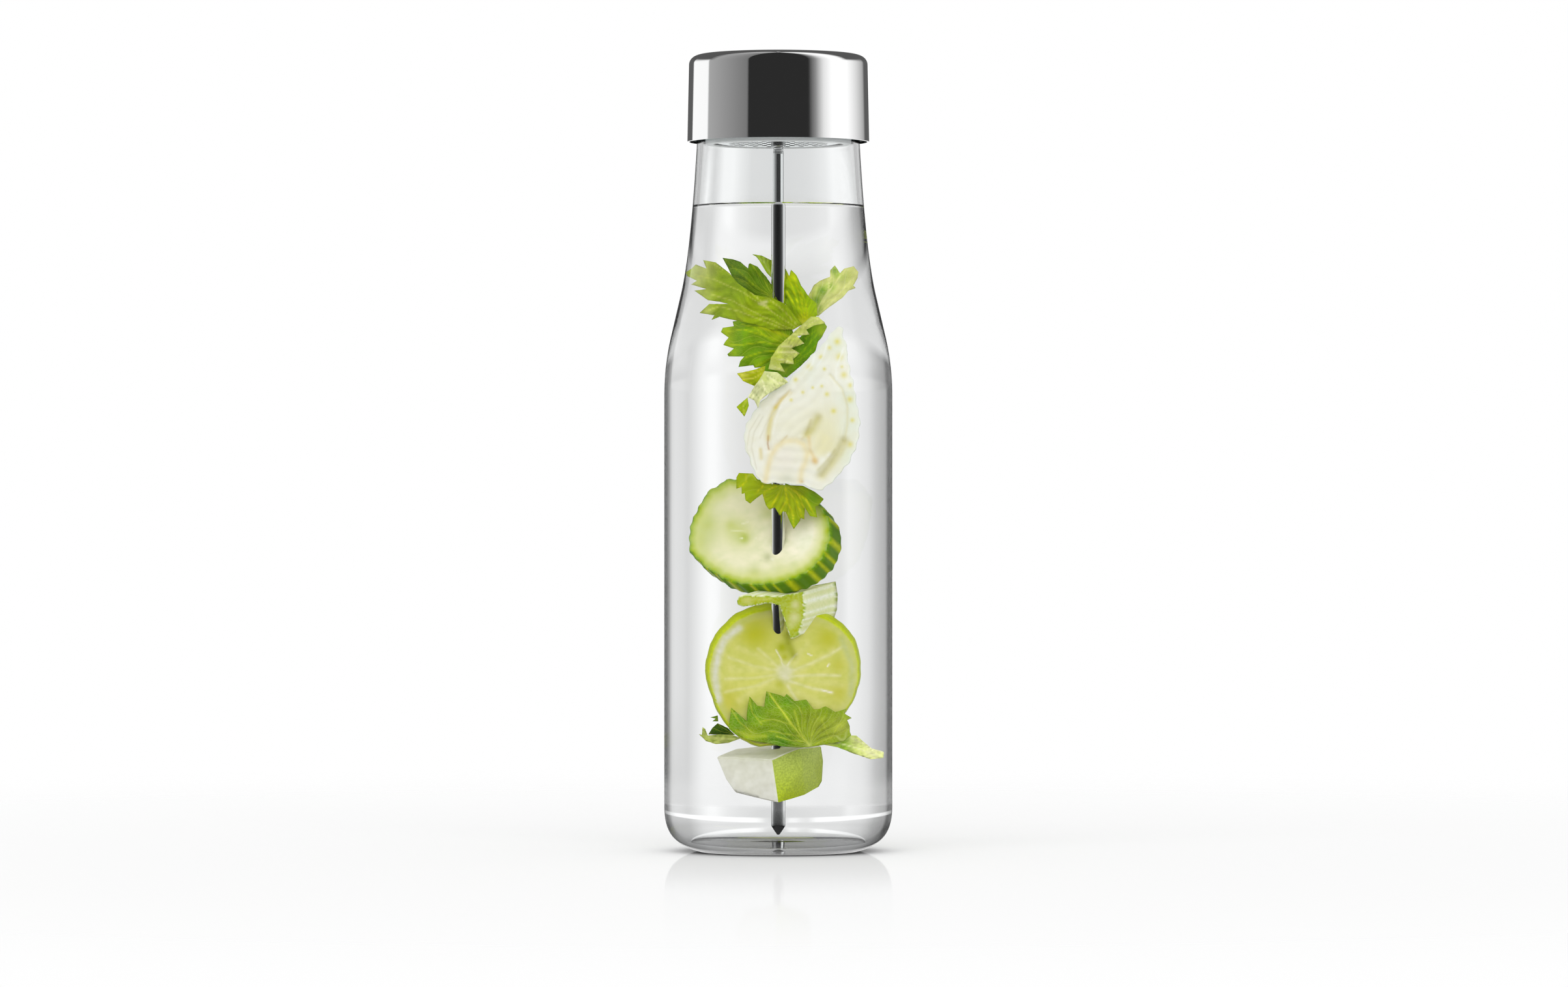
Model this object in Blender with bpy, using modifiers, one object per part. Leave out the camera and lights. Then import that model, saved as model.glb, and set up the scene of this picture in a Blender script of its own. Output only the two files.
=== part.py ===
# Water carafe: a glass bottle with a lid that pours by itself, a strainer and a skewer.
# Metres, +Z up. The origin is on the floor under the middle of the bottle.
# The lid pours towards -Y, and its flap is hinged on the +Y side.

import math

import bmesh
import bpy
from mathutils import Matrix, Vector

# Gap between pieces that touch, and how far a cutter runs past what it cuts
CLEARANCE = 0.0003
OVERRUN = 0.001

# Bottle
BODY_RADIUS = 0.043
BODY_HEIGHT = 0.171
SHOULDER_ARC_RADIUS = 0.100
FLANK_ANGLE = math.radians(13.2)
FLANK_HEIGHT = 0.01536
NECK_BLEND_HEIGHT = 0.0568
NECK_RADIUS = 0.0307
FINISH_HEIGHT = 0.018
GLASS_WALL = 0.0023
HEEL_HEIGHT = 0.017
STANDING_RADIUS = 0.030
STANDING_WIDTH = 0.003
PUNT_HEIGHT = 0.0012
BASE_THICKNESS = 0.0028
INNER_HEEL_HEIGHT = 0.0129
INNER_FLOOR_RADIUS = 0.0342
INNER_FLOOR_RISE = 0.0025

# Lid plug and its seals
GASKET_THICKNESS = 0.001
FLANGE_THICKNESS = 0.0018
PLUG_WALL = 0.0016
SEAL_SPACE = 0.0022
PLUG_DEPTH = 0.0186
PLUG_RISE = 0.0058
SEAL_SLEEVE = 0.0006
SEAL_LIPS = 3
SEAL_LIP_PITCH = 0.004
SEAL_LIP_HEIGHT = 0.0012
SEAL_DROP = 0.0028

# Steel sleeve of the cap
SHELL_WALL = 0.0008
SHELL_GAP = 0.0022
SHELL_FLARE = 0.0006
SHELL_HEIGHT = 0.0327
SHELL_CORNER_RADIUS = 0.0045
SHELL_RIM_WIDTH = 0.0065
LIP_DROP = 0.004
LIP_ROLL_RADIUS = 0.0018

# Pouring deck
DECK_THICKNESS = 0.002
DECK_SKIRT_WALL = 0.0014
HOLE_LEDGE = 0.0091
HOLE_OFFSET = 0.004

# Flap
FLAP_MARGIN = 0.0012
FLAP_SHEET = 0.0006
FLAP_TURN_DOWN = 0.0014
FLAP_EDGE_RADIUS = 0.0006
CARRIER_THICKNESS = 0.0012
SPIGOT_DEPTH = 0.0025
SPIGOT_WALL = 0.0012
SPIGOT_CLEARANCE = 0.0005
FLAP_SEAL_THICKNESS = 0.0009
SEAT_WIDTH = 0.0026

# Hinge
HINGE_GAP = 0.0032
KNUCKLE_RADIUS = 0.0019
KNUCKLE_WIDTH = 0.008
EAR_THICKNESS = 0.0025
PIN_RADIUS = 0.0009

# Counterweight and its arm, placed from the hinge axis
WEIGHT_RADIUS = 0.006
WEIGHT_LENGTH = 0.018
WEIGHT_FORWARD = 0.006
WEIGHT_BELOW = 0.017
ARM_THICKNESS = 0.0024
ARM_WIDTH = 0.0045
ARM_SETBACK = 0.008
ARM_EYE_RADIUS = 0.0032
WEIGHT_PIN_RADIUS = 0.0012

# Strainer
STRAINER_SHEET = 0.0005
STRAINER_DISH = 0.0006
STRAINER_HOLE_RADIUS = 0.00115
STRAINER_PITCH = 0.0035
STRAINER_RIM_WIDTH = 0.0054
STRAINER_LAND = 0.0008
RING_WALL = 0.0009
RING_GRIP = 0.0032
RING_LIP = 0.0005
RING_LIP_WIDTH = 0.0016

# Skewer
ROD_RADIUS = 0.002
POINT_LENGTH = 0.0039
POINT_TIP_RADIUS = 0.0003
POINT_CLEARANCE = 0.004
THREAD_ENGAGEMENT = 0.005
ROD_CHAMFER = 0.0004
SOCKET_WALL = 0.0007
SOCKET_BELOW = 0.0008
SOCKET_ROOF = 0.0015
SOCKET_FLANGE_WIDTH = 0.0016
SOCKET_FLANGE_THICKNESS = 0.001

# Facets of the turned pieces
BOTTLE_STEPS = 44
CAP_STEPS = 48
PLUG_STEPS = 32
SMALL_STEPS = 20
ROD_STEPS = 16
HOLE_SIDES = 6
HOLE_TURN = math.radians(13)
SMOOTH_ANGLE = math.radians(30)
WELD = 0.00001

# Heights that follow from the sizes above
SHOULDER_TOP = BODY_HEIGHT + SHOULDER_ARC_RADIUS * math.sin(FLANK_ANGLE)
FLANK_TOP = SHOULDER_TOP + FLANK_HEIGHT
FINISH_START = FLANK_TOP + NECK_BLEND_HEIGHT
RIM = FINISH_START + FINISH_HEIGHT
FLOOR_TOP = PUNT_HEIGHT + BASE_THICKNESS
FLANGE_BOTTOM = RIM + GASKET_THICKNESS + 2 * CLEARANCE
FLANGE_TOP = FLANGE_BOTTOM + FLANGE_THICKNESS
PLUG_TOP = FLANGE_BOTTOM + PLUG_RISE
PLUG_BOTTOM = FLANGE_BOTTOM - PLUG_DEPTH
DECK_BOTTOM = PLUG_TOP + GASKET_THICKNESS + 2 * CLEARANCE
DECK_TOP = DECK_BOTTOM + DECK_THICKNESS
SHELL_TOP = DECK_TOP + CLEARANCE + LIP_DROP
SHELL_BOTTOM = SHELL_TOP - SHELL_HEIGHT
CARRIER_BOTTOM = DECK_TOP + FLAP_SEAL_THICKNESS + 2 * CLEARANCE
CARRIER_TOP = CARRIER_BOTTOM + CARRIER_THICKNESS
FLAP_TOP = CARRIER_TOP + CLEARANCE + FLAP_SHEET
HINGE_HEIGHT = DECK_TOP + CLEARANCE + KNUCKLE_RADIUS
STRAINER_EDGE_TOP = PLUG_BOTTOM - CLEARANCE
STRAINER_EDGE_BOTTOM = STRAINER_EDGE_TOP - STRAINER_SHEET
STRAINER_BOTTOM = STRAINER_EDGE_BOTTOM - STRAINER_DISH
STRAINER_TOP = STRAINER_EDGE_TOP - STRAINER_DISH
SOCKET_BOTTOM = STRAINER_BOTTOM - SOCKET_BELOW

# Radii and places that follow
BORE_RADIUS = NECK_RADIUS - GLASS_WALL
PLUG_RADIUS = BORE_RADIUS - SEAL_SPACE
PASSAGE_RADIUS = PLUG_RADIUS - PLUG_WALL
SHELL_TOP_RADIUS = NECK_RADIUS + SHELL_GAP + SHELL_WALL
MOUTH_RADIUS = SHELL_TOP_RADIUS - SHELL_RIM_WIDTH
CORE_RADIUS = SHELL_TOP_RADIUS - SHELL_WALL - CLEARANCE
CORE_INNER_RADIUS = CORE_RADIUS - PLUG_WALL
DECK_RADIUS = CORE_INNER_RADIUS - CLEARANCE
STRAINER_RADIUS = PLUG_RADIUS - CLEARANCE
RING_INNER_RADIUS = PLUG_RADIUS + CLEARANCE
RING_RADIUS = RING_INNER_RADIUS + RING_WALL
HOLE_RADIUS = PASSAGE_RADIUS - HOLE_LEDGE
FLAP_RADIUS = HOLE_RADIUS + SEAT_WIDTH + FLAP_MARGIN
HINGE_SETBACK = FLAP_RADIUS + HINGE_GAP
CARRIER_RADIUS = FLAP_RADIUS - FLAP_SHEET - CLEARANCE
SPIGOT_RADIUS = HOLE_RADIUS - SPIGOT_CLEARANCE
SOCKET_RADIUS = ROD_RADIUS + CLEARANCE + SOCKET_WALL
HOLE_CENTRE = Vector((0, -HOLE_OFFSET, 0))
HINGE_POINT = Vector((0, HINGE_SETBACK - HOLE_OFFSET, HINGE_HEIGHT))
WEIGHT_CENTRE = HINGE_POINT + Vector((0, -WEIGHT_FORWARD, -WEIGHT_BELOW))


def clear_objects():
    for item in list(bpy.data.objects):
        bpy.data.objects.remove(item, do_unlink=True)


def new_collection(name):
    collection = bpy.data.collections.new(name)
    bpy.context.scene.collection.children.link(collection)
    return collection


def make_material(name, colour, roughness, metallic=0.0, transmission=0.0):
    material = bpy.data.materials.new(name)
    material.use_nodes = True
    shader = material.node_tree.nodes["Principled BSDF"]
    shader.inputs["Base Color"].default_value = (*colour, 1.0)
    shader.inputs["Roughness"].default_value = roughness
    shader.inputs["Metallic"].default_value = metallic
    shader.inputs["Transmission Weight"].default_value = transmission
    material.diffuse_color = (*colour, 1.0)
    return material


def add_object(name, data, collection, parent=None, place=(0, 0, 0)):
    """Links an object whose data is drawn round the world point `place`."""
    item = bpy.data.objects.new(name, data)
    collection.objects.link(item)
    item.location = place
    if parent is not None:
        item.parent = parent
        item.location = Vector(place) - parent.matrix_world.translation
    bpy.context.view_layer.update()
    return item


def add_axis(name, place, collection, parent=None):
    axis = add_object(name, None, collection, parent, place)
    axis.empty_display_size = BODY_RADIUS
    return axis


def finish_smooth(item, material):
    item.data.materials.append(material)
    item.data.shade_smooth()
    item.data.set_sharp_from_angle(angle=SMOOTH_ANGLE)


def turn(name, outline, steps, collection, material=None, parent=None, place=(0, 0, 0), closed=True):
    """Turns an outline of (radius, height) points, written down the outer side, about the Z axis."""
    mesh = bpy.data.meshes.new(name)
    points = [(radius, 0, height - place[2]) for radius, height in outline]
    edges = [(i, i + 1) for i in range(len(points) - 1)]
    if closed:
        edges.append((len(points) - 1, 0))
    mesh.from_pydata(points, edges, [])
    item = add_object(name, mesh, collection, parent, place)
    screw = item.modifiers.new("turn", "SCREW")
    screw.axis = "Z"
    screw.steps = steps
    screw.render_steps = steps
    screw.use_merge_vertices = True
    screw.merge_threshold = WELD
    if material is not None:
        apply_modifiers(item)
        finish_smooth(item, material)
    return item


def apply_modifiers(item):
    graph = bpy.context.evaluated_depsgraph_get()
    mesh = bpy.data.meshes.new_from_object(item.evaluated_get(graph))
    work = bmesh.new()
    work.from_mesh(mesh)
    bmesh.ops.remove_doubles(work, verts=work.verts, dist=WELD)
    work.to_mesh(mesh)
    work.free()
    item.modifiers.clear()
    item.data = mesh


def cylinder_mesh(name, radius, length, sides, turn_to_x=False):
    mesh = bpy.data.meshes.new(name)
    work = bmesh.new()
    bmesh.ops.create_cone(
        work, cap_ends=True, segments=sides, radius1=radius, radius2=radius, depth=length
    )
    if turn_to_x:
        quarter = Matrix.Rotation(math.radians(90), 3, "Y")
        bmesh.ops.rotate(work, cent=(0, 0, 0), matrix=quarter, verts=work.verts)
    work.to_mesh(mesh)
    work.free()
    return mesh


def box_mesh(name, size):
    mesh = bpy.data.meshes.new(name)
    work = bmesh.new()
    bmesh.ops.create_cube(work, size=1)
    bmesh.ops.scale(work, vec=size, verts=work.verts)
    work.to_mesh(mesh)
    work.free()
    return mesh


def make_tool(name, mesh, place, tools):
    """A guide solid that cuts or joins, and that isn't a part itself."""
    tool = add_object(name, mesh, tools, None, place)
    tool.hide_render = True
    tool.display_type = "WIRE"
    return tool


def combine(item, tool, operation):
    boolean = item.modifiers.new(tool.name, "BOOLEAN")
    boolean.operation = operation
    boolean.solver = "EXACT"
    boolean.object = tool


def bezier(controls, count):
    """Points on a Bezier curve through its control points' own formula."""
    degree = len(controls) - 1
    points = []
    for i in range(count + 1):
        t = i / count
        weights = [
            math.comb(degree, k) * t ** k * (1 - t) ** (degree - k) for k in range(degree + 1)
        ]
        points.append(tuple(sum(w * c[axis] for w, c in zip(weights, controls)) for axis in (0, 1)))
    return points


def arc(centre, radius, start, end, count):
    """Points on an arc, from angle start to end in degrees."""
    angles = [math.radians(start + (end - start) * i / count) for i in range(count + 1)]
    return [(centre[0] + radius * math.cos(a), centre[1] + radius * math.sin(a)) for a in angles]


def bottle_wall(inset):
    """The bottle's side from the rim's foot down to the straight body, moved in by `inset`."""
    flank_radius = BODY_RADIUS - SHOULDER_ARC_RADIUS * (1 - math.cos(FLANK_ANGLE))
    blend_radius = flank_radius - FLANK_HEIGHT * math.tan(FLANK_ANGLE)
    knee_share = 0.283
    knee = (
        blend_radius - knee_share * NECK_BLEND_HEIGHT * math.tan(FLANK_ANGLE),
        FLANK_TOP + knee_share * NECK_BLEND_HEIGHT,
    )
    neck = bezier([(NECK_RADIUS, FINISH_START), knee, (blend_radius, FLANK_TOP)], 6)
    centre = (BODY_RADIUS - SHOULDER_ARC_RADIUS, BODY_HEIGHT)
    shoulder = arc(centre, SHOULDER_ARC_RADIUS, math.degrees(FLANK_ANGLE), 0, 4)
    return [(radius - inset, height) for radius, height in neck + shoulder]


def make_bottle(parts, material):
    rim_roll = GLASS_WALL / 2
    rim_centre = (NECK_RADIUS - rim_roll, RIM - rim_roll)
    heel_shares = (0.69, 0.38, 0.13)
    heel = bezier(
        [
            (BODY_RADIUS, HEEL_HEIGHT),
            (BODY_RADIUS, HEEL_HEIGHT * heel_shares[1]),
            (STANDING_RADIUS + (BODY_RADIUS - STANDING_RADIUS) * heel_shares[0], HEEL_HEIGHT * heel_shares[2]),
            (STANDING_RADIUS, 0),
        ],
        7,
    )
    inner_radius = BODY_RADIUS - GLASS_WALL
    floor_rim = FLOOR_TOP + INNER_FLOOR_RISE
    bowl_shares = (0.45, 0.55, 0.08)
    dish = bezier([(0, FLOOR_TOP), (INNER_FLOOR_RADIUS / 2, FLOOR_TOP), (INNER_FLOOR_RADIUS, floor_rim)], 4)
    bowl = bezier(
        [
            (INNER_FLOOR_RADIUS, floor_rim),
            (
                INNER_FLOOR_RADIUS + (inner_radius - INNER_FLOOR_RADIUS) * bowl_shares[1],
                floor_rim + (INNER_HEEL_HEIGHT - floor_rim) * bowl_shares[2],
            ),
            (inner_radius, floor_rim + (INNER_HEEL_HEIGHT - floor_rim) * bowl_shares[0]),
            (inner_radius, INNER_HEEL_HEIGHT),
        ],
        6,
    )
    punt_radius = STANDING_RADIUS - STANDING_WIDTH
    punt_share = 0.6
    outline = dish[:-1] + bowl
    outline += reversed(bottle_wall(GLASS_WALL))
    outline += arc(rim_centre, rim_roll, 180, 0, 4)
    outline += bottle_wall(0)
    outline += heel
    outline += [(punt_radius, 0), (punt_radius * punt_share, PUNT_HEIGHT), (0, PUNT_HEIGHT)]
    turn("glass_bottle", outline, BOTTLE_STEPS, parts, material, closed=False)


def ring_outline(inner, outer, bottom, top):
    return [(outer, top), (outer, bottom), (inner, bottom), (inner, top)]


def make_gaskets(parts, lid_axis, material):
    rim_bottom = RIM + CLEARANCE
    rim_ring = ring_outline(BORE_RADIUS, NECK_RADIUS, rim_bottom, rim_bottom + GASKET_THICKNESS)
    turn("rim_gasket", rim_ring, PLUG_STEPS, parts, material, lid_axis)
    deck_bottom = PLUG_TOP + CLEARANCE
    deck_ring = ring_outline(PASSAGE_RADIUS, PLUG_RADIUS, deck_bottom, deck_bottom + GASKET_THICKNESS)
    turn("deck_gasket", deck_ring, PLUG_STEPS, parts, material, lid_axis)


def make_neck_seal(parts, lid_axis, material):
    """A sleeve on the plug whose lips reach the bore."""
    sleeve_inner = PLUG_RADIUS + CLEARANCE
    sleeve_outer = sleeve_inner + SEAL_SLEEVE
    lip_radius = BORE_RADIUS - CLEARANCE
    top = FLANGE_BOTTOM - SEAL_DROP
    outline = [(sleeve_outer, top)]
    for i in range(SEAL_LIPS):
        root = top - SEAL_LIP_PITCH * (i + 0.5)
        outline.append((sleeve_outer, root + SEAL_LIP_HEIGHT / 2))
        outline.append((lip_radius, root + SEAL_LIP_HEIGHT))
        outline.append((sleeve_outer, root - SEAL_LIP_HEIGHT / 2))
    bottom = top - SEAL_LIP_PITCH * SEAL_LIPS
    outline += [(sleeve_outer, bottom), (sleeve_inner, bottom), (sleeve_inner, top)]
    turn("neck_seal", outline, PLUG_STEPS, parts, material, lid_axis)


def make_lid_core(parts, lid_axis, material):
    """The plug's tube, the flange on the rim and the wall that the sleeve sits on."""
    wall_top = SHELL_TOP - SHELL_CORNER_RADIUS - CLEARANCE
    outline = [
        (CORE_RADIUS, wall_top),
        (CORE_RADIUS, FLANGE_BOTTOM),
        (PLUG_RADIUS, FLANGE_BOTTOM),
        (PLUG_RADIUS, PLUG_BOTTOM),
        (PASSAGE_RADIUS, PLUG_BOTTOM),
        (PASSAGE_RADIUS, PLUG_TOP),
        (PLUG_RADIUS, PLUG_TOP),
        (PLUG_RADIUS, FLANGE_TOP),
        (CORE_INNER_RADIUS, FLANGE_TOP),
        (CORE_INNER_RADIUS, wall_top),
    ]
    turn("lid_core", outline, CAP_STEPS, parts, material, lid_axis)


def make_cap_shell(parts, lid_axis, material):
    """One drawn sheet: lip, rolled mouth, flat top, rounded corner and flared side."""
    roll_centre = (MOUTH_RADIUS + LIP_ROLL_RADIUS, SHELL_TOP - LIP_ROLL_RADIUS)
    corner_centre = (SHELL_TOP_RADIUS - SHELL_CORNER_RADIUS, SHELL_TOP - SHELL_CORNER_RADIUS)
    outline = [(MOUTH_RADIUS, SHELL_TOP - LIP_DROP)]
    outline += arc(roll_centre, LIP_ROLL_RADIUS, 180, 90, 2)
    outline += arc(corner_centre, SHELL_CORNER_RADIUS, 90, 0, 4)
    outline.append((SHELL_TOP_RADIUS + SHELL_FLARE, SHELL_BOTTOM))
    item = turn("cap_shell", outline, CAP_STEPS, parts, None, lid_axis, closed=False)
    sheet = item.modifiers.new("sheet", "SOLIDIFY")
    sheet.thickness = SHELL_WALL
    sheet.offset = -1
    sheet.use_even_offset = True
    apply_modifiers(item)
    finish_smooth(item, material)


def make_pour_deck(parts, tools, lid_axis, material):
    """The top deck with its skirt, the pouring hole and the two hinge ears."""
    skirt_bottom = FLANGE_TOP + CLEARANCE
    outline = [
        (0, DECK_TOP),
        (DECK_RADIUS, DECK_TOP),
        (DECK_RADIUS, skirt_bottom),
        (DECK_RADIUS - DECK_SKIRT_WALL, skirt_bottom),
        (DECK_RADIUS - DECK_SKIRT_WALL, DECK_BOTTOM),
        (0, DECK_BOTTOM),
    ]
    deck = turn("pour_deck", outline, CAP_STEPS, parts, None, lid_axis, closed=False)
    apply_modifiers(deck)
    hole = cylinder_mesh("pour_hole", HOLE_RADIUS, DECK_THICKNESS + 2 * OVERRUN, PLUG_STEPS)
    hole_place = HOLE_CENTRE + Vector((0, 0, DECK_TOP - DECK_THICKNESS / 2))
    combine(deck, make_tool("pour_hole", hole, hole_place, tools), "DIFFERENCE")
    ear_middle = KNUCKLE_WIDTH / 2 + CLEARANCE + EAR_THICKNESS / 2
    root = DECK_THICKNESS / 2
    for side, name in ((-1, "ear_left"), (1, "ear_right")):
        eye = cylinder_mesh(name, KNUCKLE_RADIUS, EAR_THICKNESS, SMALL_STEPS, turn_to_x=True)
        eye_place = HINGE_POINT + Vector((side * ear_middle, 0, 0))
        combine(deck, make_tool(name, eye, eye_place, tools), "UNION")
        post_height = HINGE_HEIGHT - DECK_TOP + root
        post = box_mesh(name + "_post", (EAR_THICKNESS, 2 * KNUCKLE_RADIUS, post_height))
        post_place = eye_place - Vector((0, 0, post_height / 2))
        combine(deck, make_tool(name + "_post", post, post_place, tools), "UNION")
    pin_length = KNUCKLE_WIDTH + 2 * (EAR_THICKNESS + CLEARANCE) + 2 * OVERRUN
    pin_hole = cylinder_mesh("ear_holes", PIN_RADIUS + CLEARANCE, pin_length, SMALL_STEPS, turn_to_x=True)
    combine(deck, make_tool("ear_holes", pin_hole, HINGE_POINT, tools), "DIFFERENCE")
    apply_modifiers(deck)
    finish_smooth(deck, material)


def make_flap_plate(parts, tools, flap_axis, material):
    """Steel pan over the carrier, notched where the carrier's tongue leaves it."""
    edge_centre = (FLAP_RADIUS - FLAP_EDGE_RADIUS, FLAP_TOP - FLAP_EDGE_RADIUS)
    outline = [(0, FLAP_TOP)]
    outline += arc(edge_centre, FLAP_EDGE_RADIUS, 90, 0, 3)
    inner_radius = FLAP_RADIUS - FLAP_SHEET
    skirt_bottom = FLAP_TOP - FLAP_SHEET - FLAP_TURN_DOWN
    outline += [
        (FLAP_RADIUS, skirt_bottom),
        (inner_radius, skirt_bottom),
        (inner_radius, FLAP_TOP - FLAP_SHEET),
        (0, FLAP_TOP - FLAP_SHEET),
    ]
    plate = turn("flap_plate", outline, PLUG_STEPS, parts, None, flap_axis, HOLE_CENTRE, closed=False)
    apply_modifiers(plate)
    notch_depth = HINGE_SETBACK - inner_radius + 2 * OVERRUN
    notch = box_mesh("plate_notch", (KNUCKLE_WIDTH + 2 * CLEARANCE, notch_depth, 2 * FLAP_TURN_DOWN))
    notch_place = Vector((0, inner_radius - HOLE_OFFSET, FLAP_TOP - FLAP_SHEET - FLAP_TURN_DOWN))
    combine(plate, make_tool("plate_notch", notch, notch_place, tools), "DIFFERENCE")
    apply_modifiers(plate)
    finish_smooth(plate, material)


def arm_outline():
    """The weight's arm seen from the side, as (y, z) points from the hinge axis."""
    top = CARRIER_BOTTOM + CARRIER_THICKNESS / 2 - HINGE_HEIGHT
    straight_share = 0.62
    knee = -WEIGHT_BELOW * straight_share
    points = [(-ARM_SETBACK, top), (-ARM_SETBACK, knee)]
    eye = arc((-WEIGHT_FORWARD, -WEIGHT_BELOW), ARM_EYE_RADIUS, 40, -190, 10)
    front = [(-ARM_SETBACK - ARM_WIDTH, knee), (-ARM_SETBACK - ARM_WIDTH, top)]
    return points + eye + front


def flat_mesh(name, outline, thickness):
    """A flat outline in the YZ plane, given a thickness along X."""
    curve = bpy.data.curves.new(name, "CURVE")
    curve.dimensions = "2D"
    curve.fill_mode = "BOTH"
    curve.extrude = thickness / 2
    spline = curve.splines.new("POLY")
    spline.points.add(len(outline) - 1)
    for point, (y, z) in zip(spline.points, outline):
        point.co = (y, z, 0, 1)
    spline.use_cyclic_u = True
    draft = bpy.data.objects.new(name, curve)
    bpy.context.scene.collection.objects.link(draft)
    graph = bpy.context.evaluated_depsgraph_get()
    mesh = bpy.data.meshes.new_from_object(draft.evaluated_get(graph))
    bpy.data.objects.remove(draft)
    work = bmesh.new()
    work.from_mesh(mesh)
    bmesh.ops.remove_doubles(work, verts=work.verts, dist=WELD)
    stand_up = Matrix(((0, 0, 1), (1, 0, 0), (0, 1, 0)))
    bmesh.ops.transform(work, matrix=stand_up.to_4x4(), verts=work.verts)
    bmesh.ops.recalc_face_normals(work, faces=work.faces)
    work.to_mesh(mesh)
    work.free()
    return mesh


def make_flap_carrier(parts, tools, flap_axis, material):
    """Moulding under the steel plate: plate, spigot, tongue, knuckle and the weight's arm."""
    spigot_bottom = CARRIER_BOTTOM - SPIGOT_DEPTH
    outline = [
        (0, CARRIER_TOP),
        (CARRIER_RADIUS, CARRIER_TOP),
        (CARRIER_RADIUS, CARRIER_BOTTOM),
        (SPIGOT_RADIUS, CARRIER_BOTTOM),
        (SPIGOT_RADIUS, spigot_bottom),
        (SPIGOT_RADIUS - SPIGOT_WALL, spigot_bottom),
        (SPIGOT_RADIUS - SPIGOT_WALL, CARRIER_BOTTOM),
        (0, CARRIER_BOTTOM),
    ]
    carrier = turn("flap_carrier", outline, PLUG_STEPS, parts, None, flap_axis, HOLE_CENTRE, closed=False)
    apply_modifiers(carrier)
    tongue_length = HINGE_SETBACK - SPIGOT_RADIUS
    tongue = box_mesh("tongue", (KNUCKLE_WIDTH, tongue_length, CARRIER_THICKNESS))
    tongue_middle = HINGE_POINT.y - tongue_length / 2
    tongue_place = Vector((0, tongue_middle, CARRIER_TOP - CARRIER_THICKNESS / 2))
    combine(carrier, make_tool("tongue", tongue, tongue_place, tools), "UNION")
    knuckle = cylinder_mesh("knuckle", KNUCKLE_RADIUS, KNUCKLE_WIDTH, SMALL_STEPS, turn_to_x=True)
    combine(carrier, make_tool("knuckle", knuckle, HINGE_POINT, tools), "UNION")
    arm = flat_mesh("weight_arm", arm_outline(), ARM_THICKNESS)
    combine(carrier, make_tool("weight_arm", arm, HINGE_POINT, tools), "UNION")
    bore = cylinder_mesh(
        "knuckle_bore", PIN_RADIUS + CLEARANCE, KNUCKLE_WIDTH + 2 * OVERRUN, SMALL_STEPS, turn_to_x=True
    )
    combine(carrier, make_tool("knuckle_bore", bore, HINGE_POINT, tools), "DIFFERENCE")
    eye = cylinder_mesh(
        "arm_eye", WEIGHT_PIN_RADIUS + CLEARANCE, ARM_THICKNESS + 2 * OVERRUN, SMALL_STEPS, turn_to_x=True
    )
    combine(carrier, make_tool("arm_eye", eye, WEIGHT_CENTRE, tools), "DIFFERENCE")
    apply_modifiers(carrier)
    finish_smooth(carrier, material)


def make_flap_seal(parts, flap_axis, material):
    inner = SPIGOT_RADIUS + CLEARANCE
    bottom = DECK_TOP + CLEARANCE
    outline = ring_outline(inner, HOLE_RADIUS + SEAT_WIDTH, bottom, bottom + FLAP_SEAL_THICKNESS)
    turn("flap_seal", outline, PLUG_STEPS, parts, material, flap_axis, HOLE_CENTRE)


def make_hinge_pin(parts, lid_axis, material):
    length = KNUCKLE_WIDTH + 2 * (CLEARANCE + EAR_THICKNESS)
    mesh = cylinder_mesh("hinge_pin", PIN_RADIUS, length, SMALL_STEPS, turn_to_x=True)
    finish_smooth(add_object("hinge_pin", mesh, parts, lid_axis, HINGE_POINT), material)


def make_counterweight(parts, tools, flap_axis, material):
    """A steel slug across the arm's end, slotted for the arm and drilled for its pin."""
    mesh = cylinder_mesh("counterweight", WEIGHT_RADIUS, WEIGHT_LENGTH, SMALL_STEPS, turn_to_x=True)
    weight = add_object("counterweight", mesh, parts, flap_axis, WEIGHT_CENTRE)
    reach = ARM_EYE_RADIUS + CLEARANCE
    span = WEIGHT_RADIUS + OVERRUN + reach
    slot = box_mesh("arm_slot", (ARM_THICKNESS + 2 * CLEARANCE, span, span))
    shift = (span / 2) - reach
    combine(
        weight,
        make_tool("arm_slot", slot, WEIGHT_CENTRE + Vector((0, -shift, shift)), tools),
        "DIFFERENCE",
    )
    bore = cylinder_mesh(
        "weight_bore", WEIGHT_PIN_RADIUS + CLEARANCE, WEIGHT_LENGTH + 2 * OVERRUN, SMALL_STEPS, turn_to_x=True
    )
    combine(weight, make_tool("weight_bore", bore, WEIGHT_CENTRE, tools), "DIFFERENCE")
    apply_modifiers(weight)
    finish_smooth(weight, material)
    pin = cylinder_mesh("weight_pin", WEIGHT_PIN_RADIUS, WEIGHT_LENGTH, SMALL_STEPS, turn_to_x=True)
    finish_smooth(add_object("weight_pin", pin, parts, flap_axis, WEIGHT_CENTRE), material)


def strainer_hole_places():
    """Staggered rows of holes on the flat, from the socket out to the sloping rim."""
    row_share = math.sqrt(3) / 2
    land = STRAINER_HOLE_RADIUS + STRAINER_LAND
    inner = SOCKET_RADIUS + CLEARANCE + land
    outer = STRAINER_RADIUS - STRAINER_RIM_WIDTH - land
    reach = int(outer / (STRAINER_PITCH * row_share)) + 1
    places = []
    for row in range(-reach, reach + 1):
        shift = STRAINER_PITCH / 2 if row % 2 else 0
        for column in range(-reach - 1, reach + 2):
            x = column * STRAINER_PITCH + shift
            y = row * STRAINER_PITCH * row_share
            if inner < math.hypot(x, y) < outer:
                places.append((x, y))
    return places


def add_prism(work, radius, sides, height, place):
    bmesh.ops.create_cone(
        work, cap_ends=True, segments=sides, radius1=radius, radius2=radius, depth=height, matrix=place
    )


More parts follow.
